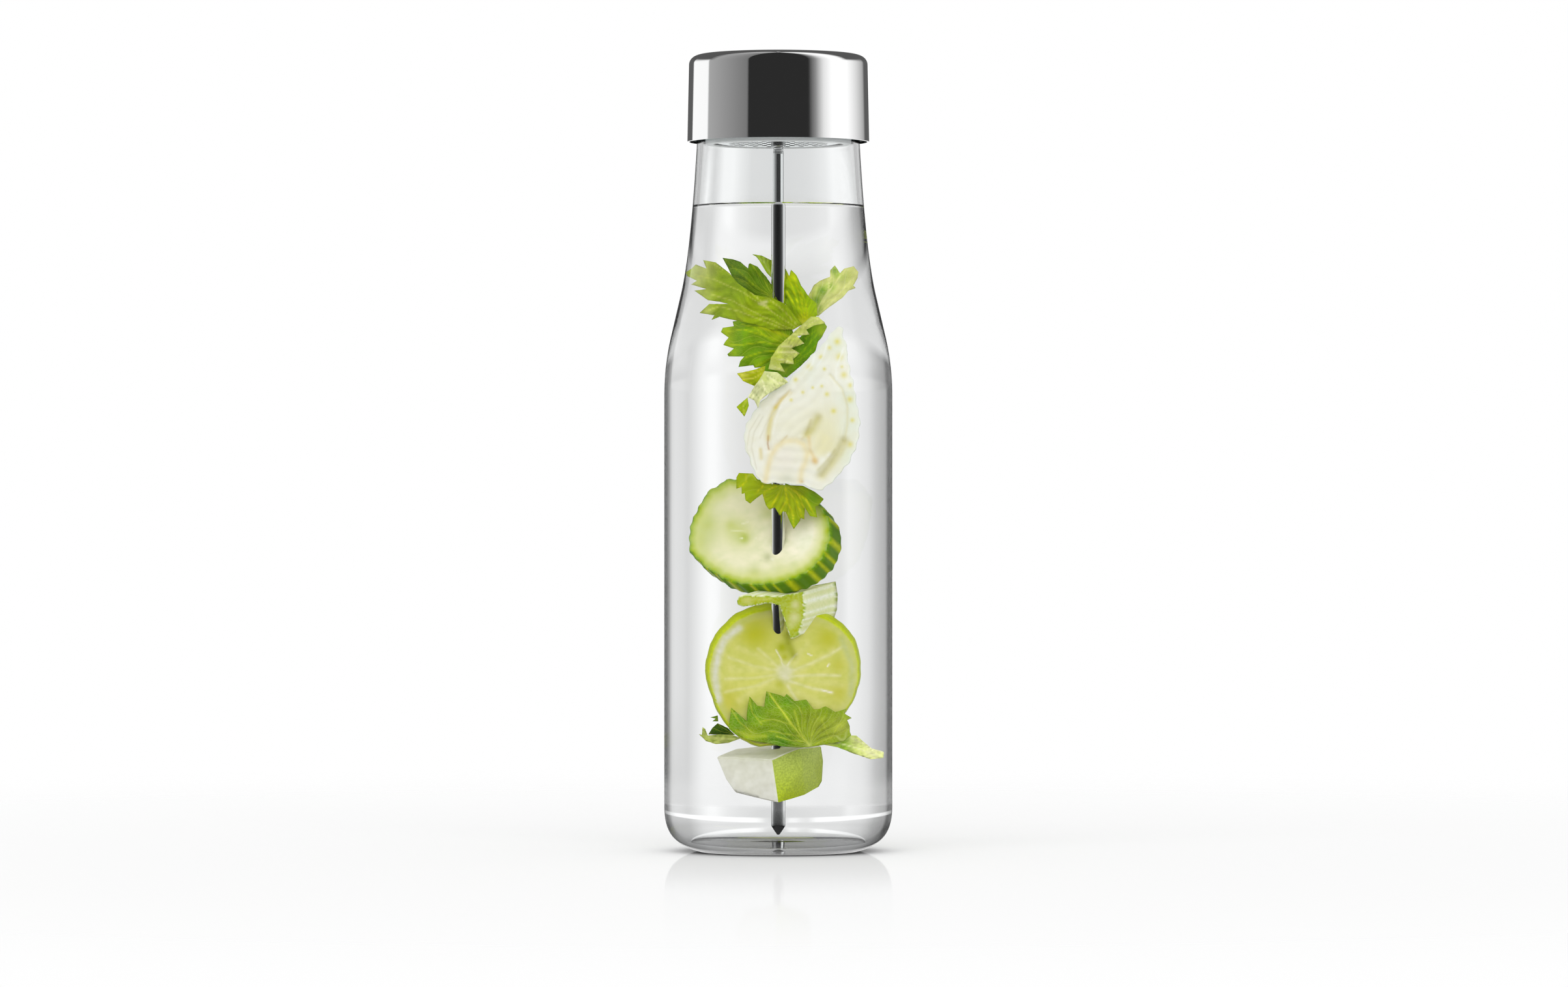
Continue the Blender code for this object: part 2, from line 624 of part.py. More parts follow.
def hole_prisms(places, height):
    mesh = bpy.data.meshes.new("strainer_holes")
    work = bmesh.new()
    turned = Matrix.Rotation(HOLE_TURN, 4, "Z")
    add_prism(work, SOCKET_RADIUS + CLEARANCE, SMALL_STEPS, height, turned)
    for x, y in places:
        add_prism(work, STRAINER_HOLE_RADIUS, HOLE_SIDES, height, Matrix.Translation((x, y, 0)) @ turned)
    work.to_mesh(mesh)
    work.free()
    return mesh


def open_flat(mesh):
    """Joins the triangles that meet on the axis into one flat face above and one below."""
    work = bmesh.new()
    work.from_mesh(mesh)
    middle = [vert for vert in work.verts if vert.co.xy.length < WELD]
    bmesh.ops.dissolve_verts(work, verts=middle)
    work.to_mesh(mesh)
    work.free()


def make_strainer(parts, tools, lid_axis, material):
    """A dished sheet held at its edge, with the socket's hole and the staggered holes."""
    edge_radius = STRAINER_RADIUS - STRAINER_RIM_WIDTH
    outline = [
        (0, STRAINER_TOP),
        (edge_radius, STRAINER_TOP),
        (PASSAGE_RADIUS, STRAINER_EDGE_TOP),
        (STRAINER_RADIUS, STRAINER_EDGE_TOP),
        (STRAINER_RADIUS, STRAINER_EDGE_BOTTOM),
        (PASSAGE_RADIUS, STRAINER_EDGE_BOTTOM),
        (edge_radius, STRAINER_BOTTOM),
        (0, STRAINER_BOTTOM),
    ]
    strainer = turn("strainer", outline, PLUG_STEPS, parts, None, lid_axis, closed=False)
    apply_modifiers(strainer)
    open_flat(strainer.data)
    prisms = hole_prisms(strainer_hole_places(), STRAINER_SHEET + 2 * OVERRUN)
    middle = Vector((0, 0, (STRAINER_TOP + STRAINER_BOTTOM) / 2))
    combine(strainer, make_tool("strainer_holes", prisms, middle, tools), "DIFFERENCE")
    apply_modifiers(strainer)
    finish_smooth(strainer, material)


def make_strainer_ring(parts, lid_axis, material):
    """Snap ring round the plug's end, whose lip holds the strainer's edge."""
    lip_top = STRAINER_EDGE_BOTTOM - CLEARANCE
    lip_bottom = lip_top - RING_LIP
    grip_top = PLUG_BOTTOM + RING_GRIP
    lip_radius = STRAINER_RADIUS - RING_LIP_WIDTH + CLEARANCE
    outline = [
        (RING_RADIUS, grip_top),
        (RING_RADIUS, lip_bottom + RING_LIP / 2),
        (RING_RADIUS - RING_LIP / 2, lip_bottom),
        (lip_radius, lip_bottom),
        (lip_radius, lip_top),
        (RING_INNER_RADIUS, lip_top),
        (RING_INNER_RADIUS, grip_top),
    ]
    turn("strainer_ring", outline, PLUG_STEPS, parts, material, lid_axis)


def make_skewer_socket(parts, lid_axis, material):
    """Threaded bush through the strainer's middle, with a flange on top of the sheet."""
    flange_bottom = STRAINER_TOP + CLEARANCE
    flange_top = flange_bottom + SOCKET_FLANGE_THICKNESS
    bore_top = SOCKET_BOTTOM + THREAD_ENGAGEMENT + CLEARANCE
    top = bore_top + SOCKET_ROOF
    bore = ROD_RADIUS + CLEARANCE
    flange_radius = SOCKET_RADIUS + SOCKET_FLANGE_WIDTH
    outline = [
        (0, top),
        (SOCKET_RADIUS - ROD_CHAMFER, top),
        (SOCKET_RADIUS, top - ROD_CHAMFER),
        (SOCKET_RADIUS, flange_top),
        (flange_radius, flange_top),
        (flange_radius, flange_bottom),
        (SOCKET_RADIUS, flange_bottom),
        (SOCKET_RADIUS, SOCKET_BOTTOM),
        (bore, SOCKET_BOTTOM),
        (bore, bore_top),
        (0, bore_top),
    ]
    turn("skewer_socket", outline, SMALL_STEPS, parts, material, lid_axis, closed=False)


def make_skewer(parts, skewer_axis, material):
    top = SOCKET_BOTTOM + THREAD_ENGAGEMENT
    tip = FLOOR_TOP + POINT_CLEARANCE
    outline = [
        (0, top),
        (ROD_RADIUS - ROD_CHAMFER, top),
        (ROD_RADIUS, top - ROD_CHAMFER),
        (ROD_RADIUS, tip + POINT_LENGTH),
        (POINT_TIP_RADIUS, tip),
        (0, tip),
    ]
    turn("skewer", outline, ROD_STEPS, parts, material, skewer_axis, skewer_axis.location, closed=False)


def build_carafe():
    clear_objects()
    parts = new_collection("water_carafe")
    tools = new_collection("cutters")

    glass = make_material("glass", (0.93, 0.96, 0.95), 0.02, transmission=1.0)
    polished = make_material("polished_steel", (0.62, 0.61, 0.60), 0.08, metallic=1.0)
    satin = make_material("satin_steel", (0.56, 0.55, 0.54), 0.25, metallic=1.0)
    plastic = make_material("moulded_plastic", (0.60, 0.61, 0.62), 0.45)
    silicone = make_material("clear_silicone", (0.82, 0.83, 0.83), 0.5)

    lid_axis = add_axis("lid_axis", (0, 0, 0), parts)
    flap_axis = add_axis("flap_axis", HINGE_POINT, parts, lid_axis)
    skewer_axis = add_axis("skewer_axis", (0, 0, 0), parts, lid_axis)

    make_bottle(parts, glass)
    make_gaskets(parts, lid_axis, silicone)
    make_neck_seal(parts, lid_axis, silicone)
    make_lid_core(parts, lid_axis, plastic)
    make_cap_shell(parts, lid_axis, polished)
    make_pour_deck(parts, tools, lid_axis, plastic)
    make_flap_plate(parts, tools, flap_axis, polished)
    make_flap_carrier(parts, tools, flap_axis, plastic)
    make_flap_seal(parts, flap_axis, silicone)
    make_hinge_pin(parts, lid_axis, satin)
    make_counterweight(parts, tools, flap_axis, satin)
    make_strainer(parts, tools, lid_axis, satin)
    make_strainer_ring(parts, lid_axis, satin)
    make_skewer_socket(parts, lid_axis, satin)
    make_skewer(parts, skewer_axis, polished)


build_carafe()
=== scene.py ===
# Looks of a water carafe with fruit and herbs on its skewer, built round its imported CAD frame
import math

import bmesh
import bpy
import numpy as np
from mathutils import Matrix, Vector
from mathutils.geometry import delaunay_2d_cdt


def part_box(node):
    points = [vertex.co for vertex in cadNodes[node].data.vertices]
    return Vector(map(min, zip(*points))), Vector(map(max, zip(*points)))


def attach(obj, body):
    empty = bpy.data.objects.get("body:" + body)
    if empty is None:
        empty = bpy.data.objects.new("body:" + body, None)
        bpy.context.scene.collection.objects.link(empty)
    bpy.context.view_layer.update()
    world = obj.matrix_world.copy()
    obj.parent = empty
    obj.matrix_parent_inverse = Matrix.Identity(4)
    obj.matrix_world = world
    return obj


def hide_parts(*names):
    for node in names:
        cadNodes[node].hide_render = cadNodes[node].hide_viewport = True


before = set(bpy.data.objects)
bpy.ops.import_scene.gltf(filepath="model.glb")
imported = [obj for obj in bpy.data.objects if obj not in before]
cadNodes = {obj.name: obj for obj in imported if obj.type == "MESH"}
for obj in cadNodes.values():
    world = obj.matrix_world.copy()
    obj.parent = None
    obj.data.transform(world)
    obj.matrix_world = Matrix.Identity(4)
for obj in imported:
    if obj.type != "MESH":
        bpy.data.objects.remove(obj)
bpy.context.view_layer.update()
mm = 0.001

# The photograph: its own pixels, and where its camera stood
photo = {
    "width": 2408,
    "axisColumn": 1195.25,
    "middleColumn": 1204.0,
    "middleRow": 757.5,
    "floorRow": 1306.0,
    "pixelsPerMetre": 4081.0,
    "cameraDistance": 2.4,
    "sensorWidth": 36.0,
}
cameraHeight = (photo["floorRow"] - photo["middleRow"]) / photo["pixelsPerMetre"]
cameraSide = (photo["middleColumn"] - photo["axisColumn"]) / photo["pixelsPerMetre"]

# Real sizes of the bottle and what is in it, in metres
bottle = {
    "bodyRadius": 0.043,
    "bodyHeight": 0.171,
    "shoulderArc": 0.100,
    "flankAngle": math.radians(13.2),
    "flankHeight": 0.01536,
    "neckBlend": 0.0568,
    "kneeShare": 0.283,  # where the neck's curve bends most
    "neckRadius": 0.0307,
    "finishHeight": 0.018,
    "wall": 0.0023,
    "heelHeight": 0.017,
    "heelShares": (0.69, 0.13, 0.38),  # of the heel's width and height, for its curve
    "standingRadius": 0.030,
    "standingWidth": 0.003,
    "puntHeight": 0.0012,
    "puntShare": 0.6,
    "floorTop": 0.004,
    "innerHeelHeight": 0.0129,
    "innerFloorRadius": 0.0342,
    "bowlShares": (0.55, 0.08, 0.45),
    "floorRise": 0.0025,
    "floorRings": 60,
    "floorRipple": 0.00018,  # rings left in the base by the mould
    "rippleLength": 0.0022,
    "rippleReach": 0.012,
    "steps": 192,
}
water = {
    "level": 0.2412,
    "climb": 0.0014,  # up the glass, as still water does
    "climbReach": 0.003,
    "rings": (0, 2, 5, 10, 16),  # millimetres from the axis, then from the glass
    "edgeRings": (10, 7, 5, 4, 3.2, 2.5, 1.9, 1.4, 1.0, 0.7, 0.45, 0.2, 0.0),
}
opticalIndex = {"air": 1.0, "glass": 1.5, "water": 1.33}


def linear(code, alpha=1.0):
    channels = [int(code[i:i + 2], 16) / 255 for i in (1, 3, 5)]
    return tuple(c / 12.92 if c <= 0.04045 else ((c + 0.055) / 1.055) ** 2.4 for c in channels) + (alpha,)


# Adds a node. A value that is a node or a socket is linked, and any other is set
def addNode(tree, kind, values=None):
    node = tree.nodes.new("ShaderNode" + kind)
    for key, value in (values or {}).items():
        if key == "stops":
            elements = node.color_ramp.elements
            while len(elements) < len(value):
                elements.new(1.0)
            for element, (place, colour) in zip(elements, value):
                element.position = place
                element.color = linear(colour) if isinstance(colour, str) else colour
        elif isinstance(value, bpy.types.Node):
            tree.links.new(next(o for o in value.outputs if o.enabled), node.inputs[key])
        elif isinstance(value, bpy.types.NodeSocket):
            tree.links.new(value, node.inputs[key])
        elif isinstance(key, str) and hasattr(node, key):
            setattr(node, key, value)
        else:
            node.inputs[key].default_value = value
    return node


def newMaterial(name):
    material = bpy.data.materials.new(name)
    material.use_nodes = True
    tree = material.node_tree
    tree.nodes.clear()
    return material, tree, addNode(tree, "TexCoord").outputs["Object"]


def finishMaterial(material, shader):
    addNode(material.node_tree, "OutputMaterial", {"Surface": shader})
    return material


def addMesh(mesh, body, materials, sharp=30, indices=None):
    for material in materials:
        mesh.materials.append(material)
    if indices is not None:
        mesh.polygons.foreach_set("material_index", indices)
    mesh.update()
    mesh.shade_smooth()
    if sharp:
        mesh.set_sharp_from_angle(angle=math.radians(sharp))
    item = bpy.data.objects.new(mesh.name, mesh)
    bpy.context.scene.collection.objects.link(item)
    if body:
        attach(item, body)
    return item


def addShape(name, points, faces, body, materials, sharp=30, indices=None):
    mesh = bpy.data.meshes.new(name)
    mesh.from_pydata([tuple(p) for p in points], [], [tuple(f) for f in faces])
    return addMesh(mesh, body, materials, sharp, indices)


def bezier(controls, count):
    degree = len(controls) - 1
    points = []
    for i in range(count + 1):
        t = i / count
        weights = [math.comb(degree, k) * t ** k * (1 - t) ** (degree - k) for k in range(degree + 1)]
        points.append(tuple(sum(w * c[axis] for w, c in zip(weights, controls)) for axis in (0, 1)))
    return points


def arc(centre, radius, start, end, count):
    angles = [math.radians(start + (end - start) * i / count) for i in range(count + 1)]
    return [(centre[0] + radius * math.cos(a), centre[1] + radius * math.sin(a)) for a in angles]


def spaced(outline, step):
    points = [outline[0]]
    for (x0, y0), (x1, y1) in zip(outline, outline[1:]):
        pieces = max(1, math.ceil(math.dist((x0, y0), (x1, y1)) / step))
        points += [(x0 + (x1 - x0) * i / pieces, y0 + (y1 - y0) * i / pieces) for i in range(1, pieces + 1)]
    return points


# Turns an outline of radius and height round the axis. strips says which stretch each face comes from
def turned(outline, steps, closed=False):
    points, rings, faces, strips = [], [], [], []
    for radius, height in outline:
        if radius < 1e-7:
            rings.append([len(points)])
            points.append((0, 0, height))
            continue
        rings.append(list(range(len(points), len(points) + steps)))
        for i in range(steps):
            angle = 2 * math.pi * i / steps
            points.append((radius * math.sin(angle), -radius * math.cos(angle), height))
    pairs = list(zip(rings, rings[1:])) + ([(rings[-1], rings[0])] if closed else [])
    for strip, (lower, upper) in enumerate(pairs):
        for i in range(steps):
            j = (i + 1) % steps
            if len(lower) == 1 and len(upper) == 1:
                continue
            if len(lower) == 1:
                faces.append((lower[0], upper[j], upper[i]))
            elif len(upper) == 1:
                faces.append((lower[i], lower[j], upper[0]))
            else:
                faces.append((lower[i], lower[j], upper[j], upper[i]))
            strips.append(strip)
    return points, faces, strips


# The bottle's outline
flankRadius = bottle["bodyRadius"] - bottle["shoulderArc"] * (1 - math.cos(bottle["flankAngle"]))
shoulderTop = bottle["bodyHeight"] + bottle["shoulderArc"] * math.sin(bottle["flankAngle"])
flankTop = shoulderTop + bottle["flankHeight"]
blendRadius = flankRadius - bottle["flankHeight"] * math.tan(bottle["flankAngle"])
finishStart = flankTop + bottle["neckBlend"]
rimHeight = finishStart + bottle["finishHeight"]
innerRadius = bottle["bodyRadius"] - bottle["wall"]


def bottleWall(inset):
    toKnee = bottle["kneeShare"] * bottle["neckBlend"]
    knee = (blendRadius - toKnee * math.tan(bottle["flankAngle"]), flankTop + toKnee)
    neck = bezier([(bottle["neckRadius"], finishStart), knee, (blendRadius, flankTop)], 40)
    centre = (bottle["bodyRadius"] - bottle["shoulderArc"], bottle["bodyHeight"])
    shoulder = arc(centre, bottle["shoulderArc"], math.degrees(bottle["flankAngle"]), 0, 24)
    return [(radius - inset, height) for radius, height in neck + shoulder]


wallLine = sorted((height, radius) for radius, height in bottleWall(0))
wallHeights = np.array([0.0] + [p[0] for p in wallLine] + [rimHeight])
wallRadii = np.array([bottle["bodyRadius"]] + [p[1] for p in wallLine] + [bottle["neckRadius"]])


def outerRadius(height):
    return np.interp(height, wallHeights, wallRadii)


waterContact = water["level"] + water["climb"]
waterRadius = float(outerRadius(waterContact)) - bottle["wall"]


# Where a pixel of the photograph looks, once its line of sight has bent through glass and water


def crossCircle(place, way, radius):
    along = np.sum(place * way, axis=1)
    inside = np.maximum(along ** 2 - np.sum(place * place, axis=1) + radius ** 2, 0.0)
    return place + way * (-along - np.sqrt(inside))[:, None]


def bend(way, normal, share):
    facing = -np.sum(way * normal, axis=1)
    rest = np.sqrt(np.maximum(1 - share ** 2 * (1 - facing ** 2), 0.0))
    return way * share + normal * (share * facing - rest)[:, None]


def seenPoints(pixels, depth):
    pixels = np.asarray(pixels, float).reshape(-1, 2)
    scale = photo["pixelsPerMetre"] * photo["cameraDistance"]
    sideSlope = (pixels[:, 0] - photo["middleColumn"]) / scale
    riseSlope = (photo["middleRow"] - pixels[:, 1]) / scale
    eye = np.tile((cameraSide, -photo["cameraDistance"]), (len(pixels), 1))
    way = np.stack([sideSlope, np.ones(len(pixels))], axis=1)
    way /= np.linalg.norm(way, axis=1)[:, None]
    heights = cameraHeight + riseSlope * (photo["cameraDistance"] - innerRadius)
    span = 4 * mm  # over which the wall's lean is taken
    lean = np.arctan((outerRadius(heights - span) - outerRadius(heights + span)) / (2 * span))
    margin = 0.3 * mm  # keeps a line of sight at the very edge inside the glass
    reach = np.abs(cameraSide + sideSlope * photo["cameraDistance"]) + margin
    outer = np.maximum(outerRadius(heights), reach)
    inner = outer - bottle["wall"]
    first = crossCircle(eye, way, outer)
    inGlass = bend(way, first / outer[:, None], opticalIndex["air"] / opticalIndex["glass"])
    second = crossCircle(first, inGlass, inner)
    inWater = bend(inGlass, second / inner[:, None], opticalIndex["glass"] / opticalIndex["water"])
    travel = (depth - second[:, 1]) / inWater[:, 1]
    entry = cameraHeight + riseSlope * (photo["cameraDistance"] + second[:, 1])
    slope = np.tan((np.arctan(riseSlope) + lean) / opticalIndex["water"] - lean)
    side = second[:, 0] + inWater[:, 0] * travel
    return np.stack([side, np.broadcast_to(depth, travel.shape), entry + slope * travel], axis=1)


def seenOn(pixels, plane):
    depth = np.zeros(len(pixels))
    step = 0.6  # of the way to the plane, so that each round settles
    for _ in range(8):
        points = seenPoints(pixels, depth)
        depth = (1 - step) * depth + step * plane(points[:, 0], points[:, 2])
    return seenPoints(pixels, depth)


def tiltedPlane(look):
    height = (photo["floorRow"] - look["corner"][1] - look["axisRow"]) / photo["pixelsPerMetre"]
    return lambda x, z: look["depth"] * mm + look["sideTilt"] * x + look["riseTilt"] * (z - height)


# Flat shapes filled with small triangles


def distanceTo(points, line, closed=False):
    line = np.asarray(line, float)
    ends = np.roll(line, -1, axis=0) if closed else line[1:]
    best = np.full(len(points), np.inf)
    for start, end in zip(line, ends):
        span = end - start
        share = np.clip(((points - start) @ span) / max(span @ span, 1e-9), 0, 1)
        best = np.minimum(best, np.linalg.norm(points - (start + share[:, None] * span), axis=1))
    return best


def insideOf(points, outline):
    inside = np.zeros(len(points), bool)
    for (x0, y0), (x1, y1) in zip(outline, np.roll(outline, -1, axis=0)):
        if y0 == y1:
            continue
        crosses = (y0 > points[:, 1]) != (y1 > points[:, 1])
        inside ^= crosses & (points[:, 0] < (x1 - x0) * (points[:, 1] - y0) / (y1 - y0) + x0)
    return inside


def loopOf(outline, step):
    return np.array(spaced(list(outline) + [outline[0]], step)[:-1], float)


filling = {"borderShare": 1.3, "rowShare": 0.87, "clearShare": 0.55}  # of the step between points


def filled(outline, step):
    border = loopOf(outline, step * filling["borderShare"])
    low, high = border.min(axis=0), border.max(axis=0)
    rows = np.arange(low[1], high[1], step * filling["rowShare"])
    columns = np.arange(low[0], high[0], step)
    grid = np.array([(x + (k % 2) * step / 2, y) for k, y in enumerate(rows) for x in columns])
    grid = grid[insideOf(grid, border)]
    grid = grid[distanceTo(grid, border, True) > step * filling["clearShare"]]
    points = [Vector(p) for p in np.concatenate([border, grid])]
    edges = [(i, (i + 1) % len(border)) for i in range(len(border))]
    corners, _, faces, _, _, _ = delaunay_2d_cdt(points, edges, [], 1, 1e-6)
    return np.array([tuple(p) for p in corners]), [tuple(f) for f in faces], border


# Materials


# Clear blown glass and water: they bend the room into dark edges. Light on the contents passes unbent
def clearMaterial(name, index, tint, shade, ripple=None, base=None):
    material, tree, place = newMaterial(name)
    shaderValues = {"Base Color": linear(tint), "Roughness": 0.0, "IOR": index, "Transmission Weight": 1.0}
    passed = linear(shade)
    if ripple:
        noise = {"Scale": 1 / (ripple["length"] * mm), "Detail": 1.0, "Vector": place}
        waves = addNode(tree, "TexNoise", noise)
        bump = {"Strength": 1.0, "Distance": ripple["height"] * mm, "Height": waves}
        shaderValues["Normal"] = addNode(tree, "Bump", bump)
    # A base paints shade into the glass: its colour darkens towards the foot, and the light passing through
    # it dims there
    if base:
        parts = addNode(tree, "SeparateXYZ", {0: place})
        height = addNode(tree, "MapRange", {"From Max": base["height"] * mm, "Value": parts.outputs[2]})
        shaderValues["Base Color"] = addNode(tree, "ValToRGB", {"stops": base["seen"], 0: height})
        passed = addNode(tree, "ValToRGB", {"stops": base["shadow"], 0: height})
    shader = addNode(tree, "BsdfPrincipled", shaderValues)
    through = addNode(tree, "BsdfTransparent", {"Color": passed})
    path = addNode(tree, "LightPath").outputs
    bounced = {"operation": "SUBTRACT", 0: path["Is Reflection Ray"], 1: path["Is Singular Ray"]}
    unbent = {"operation": "MAXIMUM", 0: path["Is Shadow Ray"], 1: addNode(tree, "Math", bounced)}
    mix = addNode(tree, "MixShader", {0: addNode(tree, "Math", unbent), 1: shader, 2: through})
    return finishMaterial(material, mix)


# Steel: the eye sees sharp reflections of the studio, broken by a faint grain. grain and depth in mm,
# and the grain is drawn coarser than real polishing marks, so that it shows
def metalMaterial(name, tint, roughness, grain, depth):
    material, tree, place = newMaterial(name)
    marks = addNode(tree, "TexNoise", {"Scale": 1 / (grain * mm), "Detail": 3.0, "Vector": place})
    smoother, rougher = 0.7, 1.4
    spread = {"To Min": roughness * smoother, "To Max": roughness * rougher, "Value": marks}
    bump = addNode(tree, "Bump", {"Strength": 1.0, "Distance": depth * mm, "Height": marks})
    values = {"Base Color": linear(tint), "Metallic": 1.0, "Roughness": addNode(tree, "MapRange", spread)}
    return finishMaterial(material, addNode(tree, "BsdfPrincipled", {**values, "Normal": bump}))


# Moulded plastic and silicone: an even skin, soft highlights and a faint mould texture. grain in mm
def mouldedMaterial(name, tint, roughness, grain, depth=0.02):
    material, tree, place = newMaterial(name)
    skin = addNode(tree, "TexNoise", {"Scale": 1 / (grain * mm), "Detail": 2.0, "Vector": place})
    bump = addNode(tree, "Bump", {"Strength": 0.4, "Distance": depth * mm, "Height": skin})
    values = {"Base Color": linear(tint), "Roughness": roughness, "Normal": bump}
    return finishMaterial(material, addNode(tree, "BsdfPrincipled", values))


# Cut fruit: the painted tint, mottled in small spots, with a wet uneven surface. spot and depth in mm
def fleshMaterial(name, darker, spot, mottle, depth, roughness=0.45):
    material, tree, place = newMaterial(name)
    noise = addNode(tree, "TexNoise", {"Scale": 1 / (spot * mm), "Detail": 4.0, "Vector": place})
    ranges = {"From Min": 0.35, "From Max": 0.75, "To Max": mottle, "Value": noise}
    share = addNode(tree, "MapRange", ranges)
    painted = addNode(tree, "VertexColor", {"layer_name": "tint"})
    mixed = addNode(tree, "Mix", {"data_type": "RGBA", 0: share, 6: painted, 7: linear(darker)})
    bump = addNode(tree, "Bump", {"Strength": 0.6, "Distance": depth * mm, "Height": noise})
    values = {"Base Color": mixed, "Roughness": roughness, "Specular IOR Level": 0.15, "Normal": bump}
    return finishMaterial(material, addNode(tree, "BsdfPrincipled", values))


leafVeins = {  # in millimetres on the leaf; lines have a core and a soft edge
    "unit": 24.5,  # of leaf to one unit of its vein map
    "main": (0.147, 0.539),
    "side": (0.098, 0.392),
    "sideSpacing": 1.715,
    "sideLean": 26.95,
    "sideStrength": 0.5,
    "netCell": 1.1111,  # coarser than a real one, so that it shows
    "net": (0.0, 0.1333),
    "patch": 3.846,
    "patchShades": (0.78, 1.2),
    "relief": 0.15,
}


# Leaf: pale veins fan out from the stalk, with side veins between them and a fine net, on a patchy blade
def leafMaterial(name, vein, net, strength):
    material, tree, place = newMaterial(name)
    unit, cell, patch = (leafVeins[key] for key in ("unit", "netCell", "patch"))
    parts = addNode(tree, "SeparateXYZ", {0: addNode(tree, "UVMap", {"uv_map": "veins"})}).outputs
    fan = addNode(tree, "Math", {"operation": "PINGPONG", 0: parts[0], 1: 0.5})
    aside = addNode(tree, "Math", {"operation": "MULTIPLY", 0: fan, 1: parts[1]})
    lean = addNode(tree, "Math", {"operation": "MULTIPLY", 0: fan, 1: leafVeins["sideLean"] / unit})
    rise = addNode(tree, "Math", {"operation": "SUBTRACT", 0: parts[1], 1: lean})
    repeat = addNode(tree, "Math", {"operation": "PINGPONG", 0: rise, 1: leafVeins["sideSpacing"] / unit})
    mesh = {"feature": "DISTANCE_TO_EDGE", "Scale": 1 / (cell * mm), "Vector": place}
    cells = addNode(tree, "TexVoronoi", mesh)
    lines = [
        (aside, unit, "main", 1.0),
        (repeat, unit, "side", leafVeins["sideStrength"]),
        (cells, cell, "net", net),
    ]
    marks = []
    for gap, scale, kind, level in lines:
        core, edge = (width / scale for width in leafVeins[kind])
        ranges = {"From Min": core, "From Max": edge, "To Min": level, "To Max": 0.0}
        marks.append(addNode(tree, "MapRange", {**ranges, "Value": gap}))
    both = addNode(tree, "Math", {"operation": "MAXIMUM", 0: marks[0], 1: marks[1]})
    every = addNode(tree, "Math", {"operation": "MAXIMUM", 0: both, 1: marks[2]})
    share = addNode(tree, "Math", {"operation": "MULTIPLY", 0: every, 1: strength})
    patches = addNode(tree, "TexNoise", {"Scale": 1 / (patch * mm), "Detail": 3.0, "Vector": place})
    low, high = leafVeins["patchShades"]
    shades = {"From Min": 0.3, "From Max": 0.7, "To Min": low, "To Max": high, "Value": patches}
    painted = addNode(tree, "VertexColor", {"layer_name": "tint"})
    lift = addNode(tree, "MapRange", shades)
    toned = {"data_type": "RGBA", "blend_type": "MULTIPLY", 0: 1.0, 6: painted, 7: lift}
    veined = {"data_type": "RGBA", 0: share, 6: addNode(tree, "Mix", toned), 7: linear(vein)}
    bump = addNode(tree, "Bump", {"Strength": 0.5, "Distance": leafVeins["relief"] * mm, "Height": every})
    values = {"Base Color": addNode(tree, "Mix", veined), "Roughness": 0.5, "Specular IOR Level": 0.1}
    return finishMaterial(material, addNode(tree, "BsdfPrincipled", {**values, "Normal": bump}))


mouthRipple = {"length": 22.22, "height": 0.02}  # slow waves left by blowing
# Painted shade at the foot: the glass's seen colour goes near black at the bottom, for the contact shadow
# and the dark floor seen through the base. Heights in mm; the shadow ramp dims the light passing through
# the base
shadedBase = {
    "height": 20,
    "seen": [
        (0.0, "#141414"), (0.02, "#3a3b3b"), (0.05, "#9a9c9c"), (0.15, "#b4b6b6"), (0.3, "#dadcdc"),
        (0.55, "#fdfefe"),
    ],
    "shadow": [(0.0, "#101010"), (0.15, "#4c4c4c"), (0.3, "#8c8e8e"), (0.75, "#f4f6f6")],
}
wetIndex = opticalIndex["glass"] / opticalIndex["water"]
glassAir = clearMaterial("blown_glass", opticalIndex["glass"], "#fdfefe", "#f4f6f6", mouthRipple, shadedBase)
glassWater = clearMaterial("blown_glass_wet", wetIndex, "#ffffff", "#ffffff")
waterSurface = clearMaterial("still_water", opticalIndex["water"], "#ffffff", "#ffffff")
capSteel = metalMaterial("mirror_polished_steel", "#ededed", 0.05, 0.6, 0.0012)  # crisp bands
rodSteel = metalMaterial("drawn_steel_rod", "#ededed", 0.06, 0.5, 0.001)  # long streaks of light
# Painted shade: the cut walls of the strainer's holes are made nearly black, as the holes lie in shadow
holeShadeSteel = metalMaterial("punched_hole_painted_shade", "#070707", 0.6, 0.4, 0.004)  # nearly black, a shaded cut
sheetSteel = metalMaterial("perforated_steel_sheet", "#d8d8d8", 0.12, 0.8, 0.002)  # satin, softer bands
blackPlastic = mouldedMaterial("moulded_black_plastic", "#232426", 0.42, 0.9)  # half-matt, wide highlights
paleInside = mouldedMaterial("bead_blasted_inside", "#f2f2f2", 0.5, 0.4)  # matt and pale, no reflections
blackSilicone = mouldedMaterial("soft_black_silicone", "#1a1b1c", 0.6, 0.6)  # matt, darker than the plastic
print("materials made")


# Camera, light and floor. Pairs are an azimuth in degrees and a grey level

